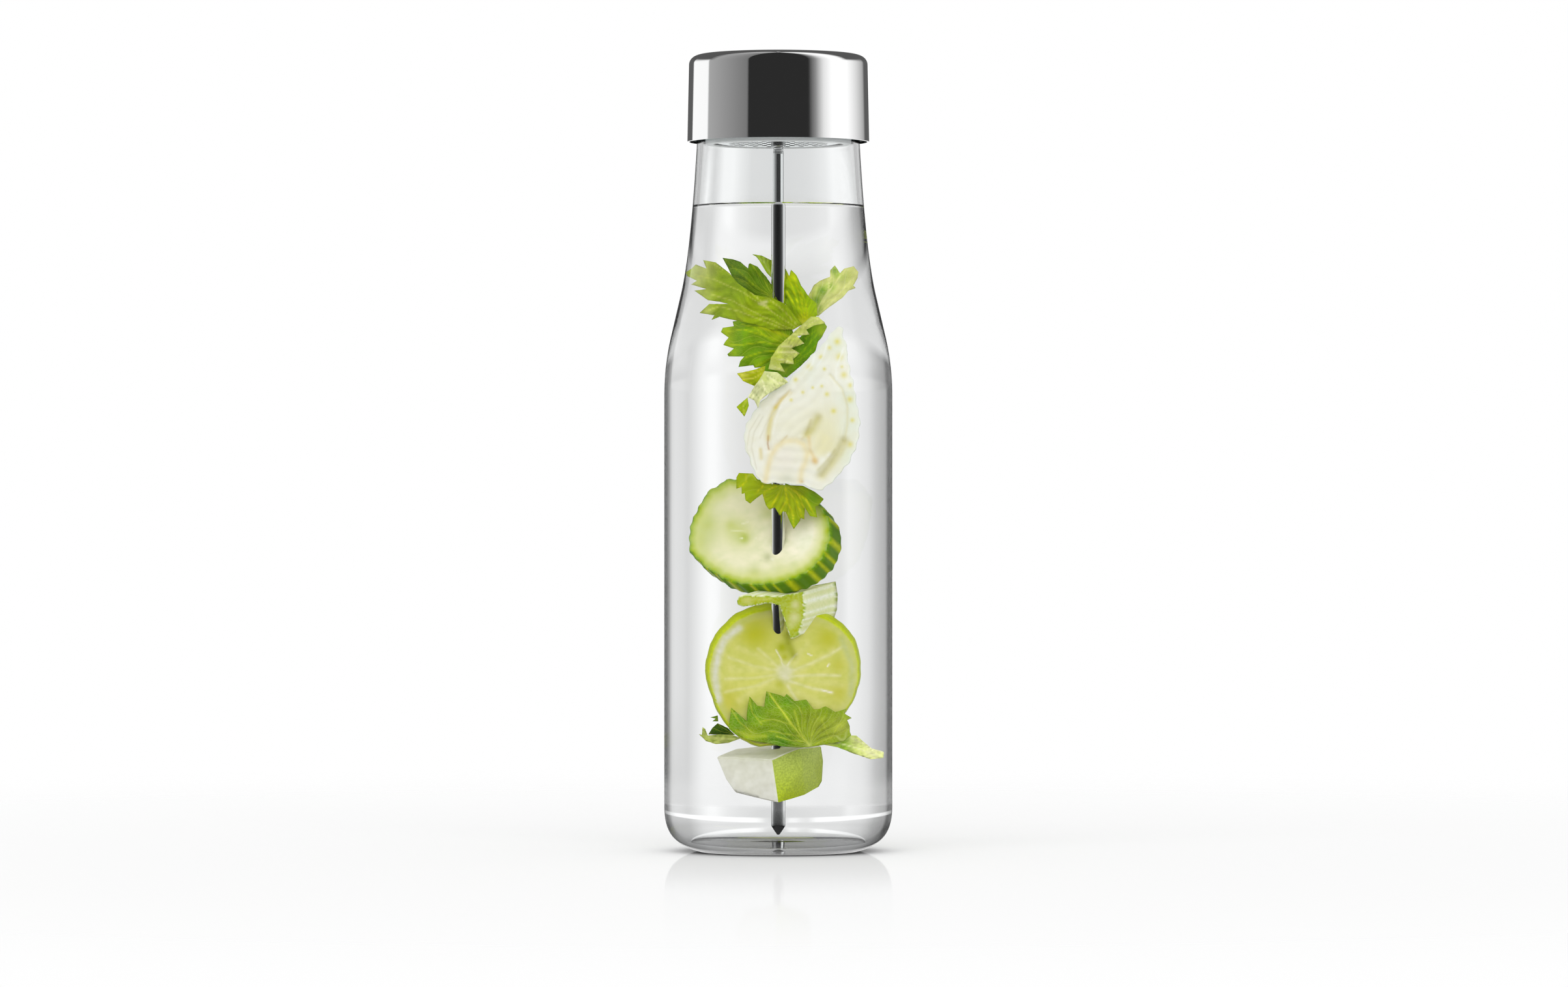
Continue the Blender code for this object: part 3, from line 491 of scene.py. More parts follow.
surroundings = {
    "brightest": 1.2,
    "behind": (0.0, 0.2),
    "leastUnderneath": 0.5,
    "diffuse": "#e2e2e2",
    "underneath": "#d2d2d2",
    "overhead": 90,
    "fromAbove": 226,
    "throughHeel": [(0.0, "#ffffff"), (0.13, "#dedede"), (0.33, "#bababa"), (1.0, "#a3a3a3")],
    "sunStrength": 1.3,
    "sunAngle": 80,
    "sunTurn": (48, 0, -8),
}
azimuths = {
    "inReflections": [
        (-180, 272), (-172, 272), (-171, 96), (-141, 96), (-139, 268), (-102, 268), (-100, 177), (-40, 127),
        (-38, 45), (39, 45), (49, 151), (60, 242), (72, 275), (99, 275), (116, 239), (138, 177), (144, 96),
        (171, 96), (172, 272), (180, 272),
    ],
    "inWaterReflections": [
        (-180, 265), (-172, 265), (-170, 60), (-145, 60), (-138, 225), (-128, 262), (-104, 215), (-86, 132),
        (-70, 80), (-53, 58), (-41, 45), (-20, 33), (0, 29), (23, 39), (38, 57), (51, 77), (65, 105),
        (81, 165), (101, 255), (123, 270), (138, 240), (145, 20), (170, 20), (172, 265), (180, 265),
    ],
    "throughNeck": [
        (-180, 224), (-178.6, 227), (-178.2, 236), (-177.5, 254), (-176.7, 259), (-175.5, 255),
        (-173.5, 235), (-172, 248), (-170.5, 268), (-168, 275), (-142, 257), (-120, 200), (120, 200),
        (142, 270), (156, 275), (173.6, 272), (175.6, 259), (176.7, 240), (178, 230), (180, 222),
    ],
    "throughNeckEdge": [
        (-180, 110), (-165, 120), (-152, 165), (-142, 250), (142, 250), (152, 165), (165, 120), (180, 110),
    ],
    "throughWater": [
        (-180, 226), (-163, 233), (-160, 247), (-155, 236), (-150, 222), (-145, 193), (-140, 168),
        (-135, 150), (-130, 105), (-126, 45), (-121, 0), (-100, 0), (-92, 236), (92, 236), (100, 0),
        (119, 0), (123, 45), (129, 160), (135, 214), (141, 221), (146, 221), (150, 214), (154, 230),
        (158, 248), (161, 259), (163, 258), (167, 242), (171, 233), (176, 226), (180, 226),
    ],
    "throughWaterLow": [
        (-180, 242), (-170, 242), (-163, 244), (-154, 231), (-150, 213), (-145, 180), (-140, 157),
        (-135, 138), (-130, 75), (-126, 30), (-121, 0), (-100, 0), (-92, 236), (92, 236), (100, 0),
        (114, 0), (119, 40), (123, 40), (129, 150), (135, 200), (146, 211), (150, 211), (154, 230),
        (158, 248), (163, 250), (170, 244), (180, 242),
    ],
}
rises = {  # where one zone of the studio gives way to the next, by how far up a ray looks
    "underneath": (-0.5, -0.3),
    "steep": (-0.16, -0.12),
    "farFloor": (-0.09, -0.05),
    "nearFloor": (-0.042, -0.03),
    "horizon": (0.03, 0.04),
    "bent": (0.04, 0.7),
    "heel": (0.058, 0.066),
    "high": (0.15, 0.35),
}
mixes = [  # new colour, share, and the colours at a share of 0 and 1
    ("lamps", "highBehind", "inReflections", "overhead"),
    ("mirrored", "horizon", "inWaterReflections", "lamps"),
    ("reflected", "underneath", "underneath", "mirrored"),
    ("neck", "turnedBack", "throughNeck", "throughNeckEdge"),
    ("low", "nearFloor", "throughWaterLow", "throughWater"),
    ("body", "farFloor", "throughWater", "low"),
    ("whole", "horizon", "body", "neck"),
    ("plain", "steep", "fromAbove", "whole"),
    ("through", "heel", "plain", "heel"),
    ("bounced", "glossy", "diffuse", "reflected"),
    ("studio", "transmitted", "bounced", "through"),
]


def lightLevel(level):
    share = ((level / 255 + 0.055) / 1.055) ** 2.4 / surroundings["brightest"]
    return (share, share, share, 1.0)


def makeWorld():
    world = bpy.data.worlds.new("studio")
    bpy.context.scene.world = world
    world.use_nodes = True
    tree = world.node_tree
    tree.nodes.clear()
    way = addNode(tree, "SeparateXYZ", {0: addNode(tree, "TexCoord").outputs["Generated"]}).outputs
    front = addNode(tree, "Math", {"operation": "MULTIPLY", 0: way[1], 1: -1.0})
    angle = addNode(tree, "Math", {"operation": "ARCTAN2", 0: way[0], 1: front})
    turn = addNode(tree, "MapRange", {"From Min": -math.pi, "From Max": math.pi, "Value": angle})
    kinds = addNode(tree, "LightPath").outputs
    start, end = surroundings["behind"]
    behind = addNode(tree, "MapRange", {"From Min": start, "From Max": end, "Value": way[1]})
    second = {"operation": "COMPARE", 0: kinds["Transmission Depth"], 1: 2.0, 2: 0.5}
    share = {
        "turnedBack": addNode(tree, "Math", second),
        "glossy": kinds["Is Glossy Ray"],
        "transmitted": kinds["Is Transmission Ray"],
    }
    for name, (low, high) in rises.items():
        least = surroundings["leastUnderneath"] if name == "underneath" else 0.0
        ranges = {"From Min": low, "From Max": high, "To Min": least, "Value": way[2]}
        share[name] = addNode(tree, "MapRange", ranges)
    share["highBehind"] = addNode(tree, "Math", {"operation": "MULTIPLY", 0: share["high"], 1: behind})
    colour = {name: lightLevel(surroundings[name]) for name in ("overhead", "fromAbove")}
    colour["underneath"] = linear(surroundings["underneath"])
    diffuse = [channel / surroundings["brightest"] for channel in linear(surroundings["diffuse"])[:3]]
    colour["diffuse"] = (*diffuse, 1.0)
    for name, pairs in azimuths.items():
        stops = [((angle + 180) / 360, lightLevel(level)) for angle, level in pairs]
        colour[name] = addNode(tree, "ValToRGB", {"stops": stops, 0: turn})
    darker = addNode(tree, "ValToRGB", {"stops": surroundings["throughHeel"], 0: share["bent"]})
    heel = {"data_type": "RGBA", "blend_type": "MULTIPLY", 0: 1.0, 6: colour["throughWaterLow"], 7: darker}
    colour["heel"] = addNode(tree, "Mix", heel)
    for name, part, low, high in mixes:
        values = {"data_type": "RGBA", 0: share[part], 6: colour[low], 7: colour[high]}
        colour[name] = addNode(tree, "Mix", values)
    studio = addNode(tree, "Background", {"Strength": surroundings["brightest"], "Color": colour["studio"]})
    white = addNode(tree, "Background", {"Strength": 1.0, "Color": (1, 1, 1, 1)})
    seen = addNode(tree, "MixShader", {0: kinds["Is Camera Ray"], 1: studio, 2: white})
    addNode(tree, "OutputWorld", {"Surface": seen})


def makeCamera():
    bpy.context.scene.view_settings.view_transform = "Standard"
    data = bpy.data.cameras.new("photo_camera")
    data.sensor_width = photo["sensorWidth"]
    data.lens = photo["sensorWidth"] * photo["cameraDistance"] * photo["pixelsPerMetre"] / photo["width"]
    item = bpy.data.objects.new("photo_camera", data)
    item.location = (cameraSide, -photo["cameraDistance"], cameraHeight)
    item.rotation_euler = (math.pi / 2, 0, 0)
    bpy.context.scene.collection.objects.link(item)
    bpy.context.scene.camera = item


def makeSun():
    data = bpy.data.lights.new("soft_front_light", "SUN")
    data.energy = surroundings["sunStrength"]
    data.angle = math.radians(surroundings["sunAngle"])
    item = bpy.data.objects.new("soft_front_light", data)
    item.rotation_euler = [math.radians(turn) for turn in surroundings["sunTurn"]]
    item.visible_glossy = False
    item.visible_transmission = False
    bpy.context.scene.collection.objects.link(item)


floor = {
    "radius": 0.8,
    "steps": 96,
    "drop": 0.0001,
    "fade": (0.055, 0.75),
    "gloss": 0.16,
    "seenThroughGlass": 0.8,
}


# White acrylic: matt, with a weak mirror image close to the bottle that fades into the background
def makeFloor():
    material, tree, place = newMaterial("white_acrylic_floor")
    reach = addNode(tree, "VectorMath", {"operation": "LENGTH", 0: place})
    start, end = floor["fade"]
    ranges = {"interpolation_type": "SMOOTHSTEP", "From Min": start, "From Max": end, "Value": reach}
    fade = addNode(tree, "MapRange", ranges)
    left = addNode(tree, "MapRange", {"To Min": floor["gloss"], "To Max": 0.0, "Value": fade})
    matt = addNode(tree, "BsdfDiffuse", {"Color": (0.9, 0.9, 0.9, 1)})
    gloss = addNode(tree, "BsdfGlossy", {"Color": (1, 1, 1, 1), "Roughness": 0.04})
    near = addNode(tree, "MixShader", {0: left, 1: matt, 2: gloss})
    mirrored = addNode(tree, "LightPath").outputs["Is Glossy Ray"]
    bent = addNode(tree, "Math", {"operation": "MULTIPLY", 0: mirrored, 1: floor["seenThroughGlass"]})
    gone = addNode(tree, "Math", {"operation": "MAXIMUM", 0: fade, 1: bent})
    clear = addNode(tree, "BsdfTransparent")
    finishMaterial(material, addNode(tree, "MixShader", {0: gone, 1: near, 2: clear}))
    points, faces, _ = turned([(floor["radius"], -floor["drop"]), (0, -floor["drop"])], floor["steps"])
    item = addShape("floor", points, faces, None, [material], sharp=0)


makeWorld()
makeCamera()
makeSun()
makeFloor()
print("camera, light and floor made")


# The bottle, and the water in it


def makeBottle():
    body, foot, heel = bottle["bodyRadius"], bottle["standingRadius"], bottle["heelHeight"]
    across, near, far = bottle["heelShares"]
    low = (foot + (body - foot) * across, heel * near)
    curve = bezier([(body, heel), (body, heel * far), low, (foot, 0)], 28)
    floorEdge, floorRim = bottle["innerFloorRadius"], bottle["floorTop"] + bottle["floorRise"]
    reach, rise = innerRadius - floorEdge, bottle["innerHeelHeight"] - floorRim
    across, near, far = bottle["bowlShares"]
    low = (floorEdge + reach * across, floorRim + rise * near)
    high = (innerRadius, floorRim + rise * far)
    bowl = bezier([(floorEdge, floorRim), low, high, (innerRadius, bottle["innerHeelHeight"])], 26)
    floorLine = []
    for i in range(bottle["floorRings"]):
        share = i / bottle["floorRings"]
        radius = floorEdge * share
        wave = math.cos(2 * math.pi * radius / bottle["rippleLength"])
        wave *= math.exp(-(radius / bottle["rippleReach"]) ** 2)
        height = bottle["floorTop"] + bottle["floorRise"] * share ** 2 + bottle["floorRipple"] * wave
        floorLine.append((radius, height))
    innerWall = bottleWall(bottle["wall"])[::-1]
    wet = floorLine + bowl + [p for p in innerWall if p[1] < waterContact]
    dry = [(waterRadius, waterContact)] + [p for p in innerWall if p[1] > waterContact]
    roll = bottle["wall"] / 2
    rim = arc((bottle["neckRadius"] - roll, rimHeight - roll), roll, 180, 0, 12)
    punt, puntRadius = bottle["puntHeight"], foot - bottle["standingWidth"]
    under = [(puntRadius, 0), (puntRadius * bottle["puntShare"], punt), (0, punt)]
    points, faces, strips = turned(wet + dry + rim + bottleWall(0) + curve + under, bottle["steps"])
    faces = [f[::-1] for f in faces]
    indices = [1 if strip < len(wet) else 0 for strip in strips]
    item = addShape("bottle_glass", points, faces, "bottle", [glassAir, glassWater], 40, indices)
    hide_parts("glass_bottle")


def makeWater():
    radii = [ring * mm for ring in water["rings"]]
    radii += [waterRadius - ring * mm for ring in water["edgeRings"]]
    outline = []
    for radius in radii:
        lift = water["climb"] * math.exp(-(waterRadius - radius) / water["climbReach"])
        outline.append((radius, water["level"] + lift))
    points, faces, _ = turned(outline[::-1], bottle["steps"])
    addShape("water_surface", points, faces, "bottle", [waterSurface], 0)


makeBottle()
makeWater()
print("bottle and water made")


# The steel of the lid, finer than the frame shows it

cap = {
    "wall": 0.0008,
    "topRadius": 0.0337,
    "flare": 0.0006,
    "top": 0.299295,
    "bottom": 0.266595,
    "corner": 0.0038,
    "mouthRadius": 0.0272,
    "lipDrop": 0.004,
    "lipRoll": 0.0018,
    "steps": 160,
}


def wallLoop(line, thickness):
    inner = []
    for i, (radius, height) in enumerate(line):
        before, after = line[max(i - 1, 0)], line[min(i + 1, len(line) - 1)]
        dr, dz = after[0] - before[0], after[1] - before[1]
        size = math.hypot(dr, dz)
        inner.append((radius + dz / size * thickness, height - dr / size * thickness))
    return line + inner[::-1]


def makeCap():
    roll = (cap["mouthRadius"] + cap["lipRoll"], cap["top"] - cap["lipRoll"])
    corner = (cap["topRadius"] - cap["corner"], cap["top"] - cap["corner"])
    line = [(cap["mouthRadius"], cap["top"] - cap["lipDrop"])]
    line += arc(roll, cap["lipRoll"], 180, 90, 8) + arc(corner, cap["corner"], 90, 0, 14)
    line += spaced([line[-1], (cap["topRadius"] + cap["flare"], cap["bottom"])], 3 * mm)[1:]
    points, faces, strips = turned(wallLoop(line, cap["wall"]), cap["steps"], closed=True)
    faces = [f[::-1] for f in faces]
    indices = [1 if strip > len(line) else 0 for strip in strips]
    finishes = [capSteel, paleInside]
    item = addShape("cap_sleeve", points, faces, "lid", finishes, 40, indices)
    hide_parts("cap_shell")


strainer = {
    "radius": 0.0259,
    "edgeTop": 0.2667,
    "edgeBottom": 0.2662,
    "dish": 0.0006,
    "dishRadius": 0.0205,
    "flatRadius": 0.0246,
    "crown": 0.0013,
    "crownWidth": 0.015,
    "holeRadius": 0.00115,
    "pitch": 0.0035,
    "land": 0.0008,
    "bore": 0.003,
    "boreLand": 0.0016,
    "rows": range(-7, 8),
    "steps": 128,
    "holeSteps": 20,
    "boreSteps": 32,
}


def ringPoints(centre, radius, steps):
    turns = np.linspace(0, 2 * math.pi, steps, endpoint=False)
    return [(centre[0] + radius * math.cos(a), centre[1] + radius * math.sin(a)) for a in turns]


def strainerHoles():
    pitch, hole = strainer["pitch"], strainer["holeRadius"]
    nearest = strainer["bore"] + strainer["boreLand"] + hole
    farthest = strainer["dishRadius"] - strainer["land"] - hole
    centres = []
    for row in strainer["rows"]:
        for column in strainer["rows"]:
            centre = ((column + row % 2 / 2) * pitch, row * pitch * math.sqrt(0.75))
            if nearest < math.hypot(*centre) < farthest:
                centres.append(centre)
    return centres


def makeStrainer():
    edge, dish = strainer["flatRadius"], strainer["dishRadius"]
    loops = [ringPoints((0, 0), radius, strainer["steps"]) for radius in (strainer["radius"], edge, dish)]
    holes = [(centre, strainer["holeRadius"], strainer["holeSteps"]) for centre in strainerHoles()]
    holes.append(((0, 0), strainer["bore"], strainer["boreSteps"]))
    flat, edges = [], []
    for loop in loops + [ringPoints(*hole) for hole in holes]:
        start = len(flat)
        flat += [Vector((x / mm, y / mm)) for x, y in loop]
        edges += [(start + i, start + (i + 1) % len(loop)) for i in range(len(loop))]
    corners, _, faces, _, _, _ = delaunay_2d_cdt(flat, edges, [], 1, 1e-6)
    spots = np.array([tuple(c) for c in corners]) * mm
    middles = np.array([spots[list(f)].mean(axis=0) for f in faces])
    keep = np.ones(len(faces), bool)
    nearlyWhole = 0.97  # a face whose middle lies this far inside a hole's edge is cut out
    for centre, radius, _ in holes:
        keep &= np.hypot(*(middles - centre).T) > radius * nearlyWhole
    faces = [tuple(f) for f, kept in zip(faces, keep) if kept]
    radii = np.hypot(*spots.T)
    drop = np.interp(radii, [dish, edge], [strainer["dish"], 0])
    drop -= strainer["crown"] * np.clip((dish - radii) / strainer["crownWidth"], 0, 1)
    sides = [np.column_stack([spots, strainer[side] - drop]) for side in ("edgeTop", "edgeBottom")]
    count = len(spots)
    uses = {pair for face in faces for pair in zip(face, face[1:] + face[:1])}
    rims = [(a, b) for face in faces for a, b in zip(face, face[1:] + face[:1]) if (b, a) not in uses]
    allFaces = faces + [tuple(i + count for i in reversed(f)) for f in faces]
    allFaces += [(b, a, a + count, b + count) for a, b in rims]
    inHoles = [max(radii[a], radii[b]) < edge for a, b in rims]
    indices = [0] * (2 * len(faces)) + [int(inHole) for inHole in inHoles]
    metals = [sheetSteel, holeShadeSteel]
    item = addShape("strainer_sheet", np.vstack(sides), allFaces, "lid", metals, 30, indices)
    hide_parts("strainer")


socket = {
    "radius": 0.0026,
    "bore": 0.00225,
    "boreTop": 0.0015,
    "flange": 0.0046,
    "flangeHeight": 0.001,
    "gap": 0.0003,
    "topBevel": 0.0004,
    "bottomBevel": 0.0002,
    "steps": 48,
}


def makeSocket():
    low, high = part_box("skewer_socket")
    radius, bore, flange = socket["radius"], socket["bore"], socket["flange"]
    top, bottom = socket["topBevel"], socket["bottomBevel"]
    shelf = strainer["edgeTop"] - strainer["dish"] + strainer["crown"] + socket["gap"]
    shelfTop, roof = shelf + socket["flangeHeight"], high.z - socket["boreTop"]
    outline = [
        (0, high.z), (radius - top, high.z), (radius, high.z - top), (radius, shelfTop), (flange, shelfTop),
        (flange, shelf), (radius, shelf), (radius, low.z + bottom), (radius - bottom, low.z),
        (bore + bottom, low.z), (bore, low.z + bottom), (bore, roof), (0, roof),
    ]
    points, faces, _ = turned(outline[::-1], socket["steps"])
    item = addShape("socket_bush", points, faces, "lid", [sheetSteel], 35)
    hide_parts("skewer_socket")


skewer = {
    "radius": 0.002,
    "pitch": 0.0008,
    "threadDepth": 0.0003,
    "threadRelief": 0.0001,
    "threadLength": 0.0075,
    "threadRunOut": 2,  # turns over which the thread fades into the rod
    "ringsPerTurn": 10,
    "point": 0.0039,
    "tip": 0.0003,
    "shaftStep": 0.008,
    "steps": 48,
}


def makeSkewer():
    low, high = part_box("skewer")
    steps, pitch = skewer["steps"], skewer["pitch"]
    pointTop = low.z + skewer["point"]
    thread = high.z - skewer["threadLength"]
    edge = 0.1 * mm  # between the rings at a crease
    heights = [low.z, low.z + edge, low.z + skewer["point"] / 2, pointTop - 2 * edge, pointTop + 2 * edge]
    heights += list(np.arange(pointTop + 40 * edge, thread - 10 * edge, skewer["shaftStep"]))
    heights += [thread - 4 * edge]
    heights += [*np.arange(thread, high.z - edge, pitch / skewer["ringsPerTurn"]), high.z]
    points, faces = [], []
    for height in heights:
        for i in range(steps):
            angle = 2 * math.pi * i / steps
            radius = skewer["radius"]
            if height < pointTop:
                radius = skewer["tip"] + (radius - skewer["tip"]) * (height - low.z) / skewer["point"]
            if height >= thread:
                turn = (height - thread) / pitch - i / steps
                ease = min(1.0, (height - thread) / (skewer["threadRunOut"] * pitch))
                groove = skewer["threadDepth"] * abs(2 * (turn % 1.0) - 1)
                radius -= ease * (groove + skewer["threadRelief"])
            points.append((radius * math.sin(angle), -radius * math.cos(angle), height))
    for ring in range(len(heights) - 1):
        a, b = ring * steps, (ring + 1) * steps
        faces += [(a + i, a + (i + 1) % steps, b + (i + 1) % steps, b + i) for i in range(steps)]
    faces.append(tuple(reversed(range(steps))))
    faces.append(tuple(range(len(points) - steps, len(points))))
    item = addShape("skewer_rod", points, faces, "skewer", [rodSteel], 50)
    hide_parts("skewer")


flapTop = {"radius": 0.0193, "wall": 0.0006, "notch": 0.0043, "notchDepth": 0.0009, "steps": 96}


def makeFlapTop():
    low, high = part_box("flap_plate")
    radius, wall = flapTop["radius"], flapTop["wall"]
    x0, y0 = (low.x + high.x) / 2, low.y + radius
    outline = [(0, high.z)] + arc((radius - wall, high.z - wall), wall, 90, 0, 8)
    outline += [(radius, low.z), (radius - wall, low.z), (radius - wall, high.z - wall), (0, high.z - wall)]
    points, faces, _ = turned(outline, flapTop["steps"])
    points = [(x + x0, y + y0, z) for x, y, z in points]
    notchStart = y0 + radius - flapTop["notchDepth"]
    kept = []
    for face in faces:
        x, y, z = np.mean([points[i] for i in face], axis=0)
        if abs(x) >= flapTop["notch"] or y <= notchStart or z >= high.z - wall:
            kept.append(face[::-1])
    item = addShape("flap_disc", points, kept, "flap", [capSteel], 35)
    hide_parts("flap_plate")


makeCap()
makeStrainer()
makeSocket()
makeSkewer()
makeFlapTop()
frameLooks = [  # pieces that keep the frame's own shape
    (blackPlastic, ["lid_core", "pour_deck", "flap_carrier"]),
    (blackSilicone, ["rim_gasket", "deck_gasket", "neck_seal", "flap_seal"]),
    (rodSteel, ["hinge_pin", "weight_pin"]),
    (sheetSteel, ["counterweight"]),
    (paleInside, ["strainer_ring"]),
]
for finish, nodeNames in frameLooks:
    for nodeName in nodeNames:
        cadNodes[nodeName].data.materials.clear()
        cadNodes[nodeName].data.materials.append(finish)
print("lid and skewer made")


# What is threaded on the skewer. Pixels are the photograph's, counted from each piece's own corner.
# A patch is a column, a row, a reach, a tint and its strength, and a stroke is a width, a tint, its
# strength and the lines that it follows

contents = {"richness": 1.18, "darkest": 0.002, "weld": 0.00002, "leafThickness": 0.00025}


def spots(look, points):
    return np.array(points, float) + look["corner"]


def tintShare(tint, code, share):
    return tint + (np.array(linear(code)) - tint) * np.clip(share, 0, 1)[:, None]


def fadedTint(code, farCode, share):
    return tintShare(np.tile(linear(code), (len(share), 1)), farCode, share)


def richer(tint, toning=(1, 1, 1)):
    colour = tint[:, :3] * toning
    middle = colour.mean(axis=1)[:, None]
    colour = np.clip(middle + (colour - middle) * contents["richness"], contents["darkest"], 1)
    return np.column_stack([colour, tint[:, 3]])


# Base tint, then soft patches, then bands along the edge, then strokes
def painted(pixels, look, border):
    tint = np.tile(linear(look["tint"]), (len(pixels), 1))
    edge = distanceTo(pixels, border, True)
    dots = [(*dot, *look["dotTint"]) for dot in look.get("dots", [])]
    for x, y, reach, code, strength in look.get("patches", []) + dots:
        away = np.linalg.norm(pixels - spots(look, (x, y)), axis=1) / reach
        tint = tintShare(tint, code, strength * np.exp(-away ** 2))
    for reach, soft, code in look.get("edges", []):
        tint = tintShare(tint, code, (reach + soft - edge) / (2 * soft))
    for width, code, strength, lines in look.get("strokes", []):
        for line in lines:
            gap = distanceTo(pixels, spots(look, line))
            tint = tintShare(tint, code, strength * np.exp(-(gap / width) ** 2))
    return richer(tint, look.get("toning", (1, 1, 1)))


def finishShape(item, tint, weld=True):
    mesh = item.data
    layer = mesh.color_attributes.new("tint", "FLOAT_COLOR", "POINT")
    layer.data.foreach_set("color", np.asarray(tint, np.float32).ravel())
    if weld:
        shape = bmesh.new()
        shape.from_mesh(mesh)
        bmesh.ops.remove_doubles(shape, verts=shape.verts, dist=contents["weld"])
        bmesh.ops.recalc_face_normals(shape, faces=shape.faces)
        shape.to_mesh(mesh)
        shape.free()
    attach(item, "skewer")


# An outline with the shallow scallops of a cut edge
def wavy(outline, size, period):
    longer, weaker = 1.7, 0.6  # a second wave keeps the scallops uneven
    line = loopOf(outline, 2.0)
    along = np.concatenate([[0], np.cumsum(np.linalg.norm(np.diff(line, axis=0), axis=1))])
    ahead = np.roll(line, -1, axis=0) - np.roll(line, 1, axis=0)
    aside = np.stack([ahead[:, 1], -ahead[:, 0]], axis=1) / np.linalg.norm(ahead, axis=1)[:, None]
    turn = 2 * math.pi * along / period
    return line + aside * (size * (np.sin(turn) + weaker * np.sin(turn / longer + 1)))[:, None]


def facePair(faces, count):
    return [tuple(f) for f in faces] + [tuple(i + count for i in f) for f in faces]


# A thick slice. Its cut face and every ring of its rind are laid out as the photograph shows them
def makeSlice(name, look):
    outline = spots(look, look["outline"])
    if "wave" in look:
        outline = wavy(outline, *look["wave"])
    middle = outline.mean(axis=0)
    inset, drift = np.array(look["faceScale"]), np.array(look["drift"])
    faceMiddle = middle + np.array(look.get("faceShift", (0, 0)))
    flat, faces, border = filled(faceMiddle + (outline - middle) * inset, look["step"])
    plane, thickness, backScale = tiltedPlane(look), look["thickness"] * mm, look["backScale"]
    fromMiddle = (border - faceMiddle) / inset
    backPixels = middle + drift + (flat - faceMiddle) / inset * backScale
    points = [seenOn(flat, plane), seenOn(backPixels, lambda x, z: plane(x, z) + thickness)]
    tints = [painted(flat, look, border)] * 2
    backStart = 0.75  # where the rind starts to close on the back
    length, rows = len(border), look.get("rimRows", 8)
    along = np.arange(length) / length
    for row in range(rows):
        share = row / (rows - 1)
        fromFace = math.sin(math.pi / 2 * min(1, share / look["turnShare"]))
        near = border * (1 - fromFace) + (middle + fromMiddle) * fromFace
        toBack = max(0.0, (share - backStart) / (1 - backStart)) ** 2
        far = middle + fromMiddle * (1 + (backScale - 1) * toBack)
        ring = near * (1 - toBack) + far * toBack + drift * share
        points.append(seenOn(ring, lambda x, z: plane(x, z) + thickness * share))
        tints.append(richer(look["rimTint"](along, share)))
    allFaces = facePair(faces, len(flat))
    indices = [0] * len(allFaces) + [1] * (length * (rows - 1))
    for row in range(rows - 1):
        start = 2 * len(flat) + row * length
        for i in range(length):
            j = (i + 1) % length
            allFaces.append((start + i, start + j, start + length + j, start + length + i))
    item = addShape(name, np.vstack(points), allFaces, None, look["materials"], 35, indices)
    finishShape(item, np.vstack(tints))


# Half a bulb: a flat cut face with raised layers, and a rounded back
def makeBulb(name, look):
    flat, faces, border = filled(wavy(spots(look, look["outline"]), *look["wave"]), look["step"])
    plane = tiltedPlane(look)
    edge = distanceTo(flat, border, True)
    relief = look["relief"] * np.sin(edge / look["layerWidth"] * 2 * math.pi)
    for width, deep, line in look["grooves"]:
        relief += deep * np.exp(-(distanceTo(flat, spots(look, line)) / width) ** 2)
    front = seenOn(flat, plane)
    front[:, 1] += relief * mm * np.clip(edge / look["frontRound"], 0, 1)
    swell = np.sqrt(np.clip(1 - (1 - np.clip(edge / edge.max(), 0, 1)) ** 2, 0, 1))
    lip = look["edgeThickness"] * np.clip(edge / look["backRound"], 0, 1)
    deeper = (look["thickness"] * swell + lip) * mm
    back = seenOn(flat, lambda x, z: plane(x, z) + deeper)
    tint = painted(flat, look, border)
    points, allFaces = np.vstack([front, back]), facePair(faces, len(flat))
    item = addShape(name, points, allFaces, None, look["materials"], 60)
    finishShape(item, np.vstack([tint, tint]))


# A chunk with flat cut sides, from its corners: pixel column, pixel row and depth in millimetres
def makeChunk(name, look):
    corners = np.array(look["corners"], float)
    shape = bmesh.new()
    for point in seenPoints(spots(look, corners[:, :2]), corners[:, 2] * mm):
        shape.verts.new(point)
    bmesh.ops.convex_hull(shape, input=shape.verts)
    flat = math.radians(look["flatAngle"])
    bmesh.ops.dissolve_limit(shape, angle_limit=flat, verts=shape.verts, edges=shape.edges)
    skinStart = Vector(seenPoints(spots(look, look["skinStart"]), look["skinDepth"] * mm)[0])
    backMost, upMost = look["skinNormal"]
    for face in shape.faces:
        side = face.calc_center_median() - skinStart
        face.material_index = int(side.x > 0 and face.normal.y < backMost and face.normal.z < upMost)
    sharp = [e for e in shape.edges if e.calc_face_angle(0) > math.radians(look["cutAngle"])]
    sharp = [e for e in sharp if not all(f.material_index for f in e.link_faces)]
    bmesh.ops.bevel(shape, geom=sharp, offset=look["bevel"] * mm, segments=3, affect="EDGES", material=0)
    bmesh.ops.triangulate(shape, faces=shape.faces)
    for _ in range(look["cuts"]):
        long = [e for e in shape.edges if e.calc_length() > look["cell"] * mm]
        bmesh.ops.subdivide_edges(shape, edges=long, cuts=1)
        bmesh.ops.triangulate(shape, faces=shape.faces)
    mesh = bpy.data.meshes.new(name)
    shape.to_mesh(mesh)
    shape.free()
    item = addMesh(mesh, None, look["materials"], look["smoothAngle"])
    heights = np.array([v.co.z for v in mesh.vertices])
    share = (heights - heights.min()) / np.ptp(heights)
    skin = np.zeros(len(heights), bool)
    for face in mesh.polygons:
        if face.material_index == 1:
            skin[list(face.vertices)] = True
    cutTint, skinTint = (fadedTint(*look[key], share) for key in ("cutTints", "skinTints"))
    finishShape(item, richer(np.where(skin[:, None], skinTint, cutTint)), False)


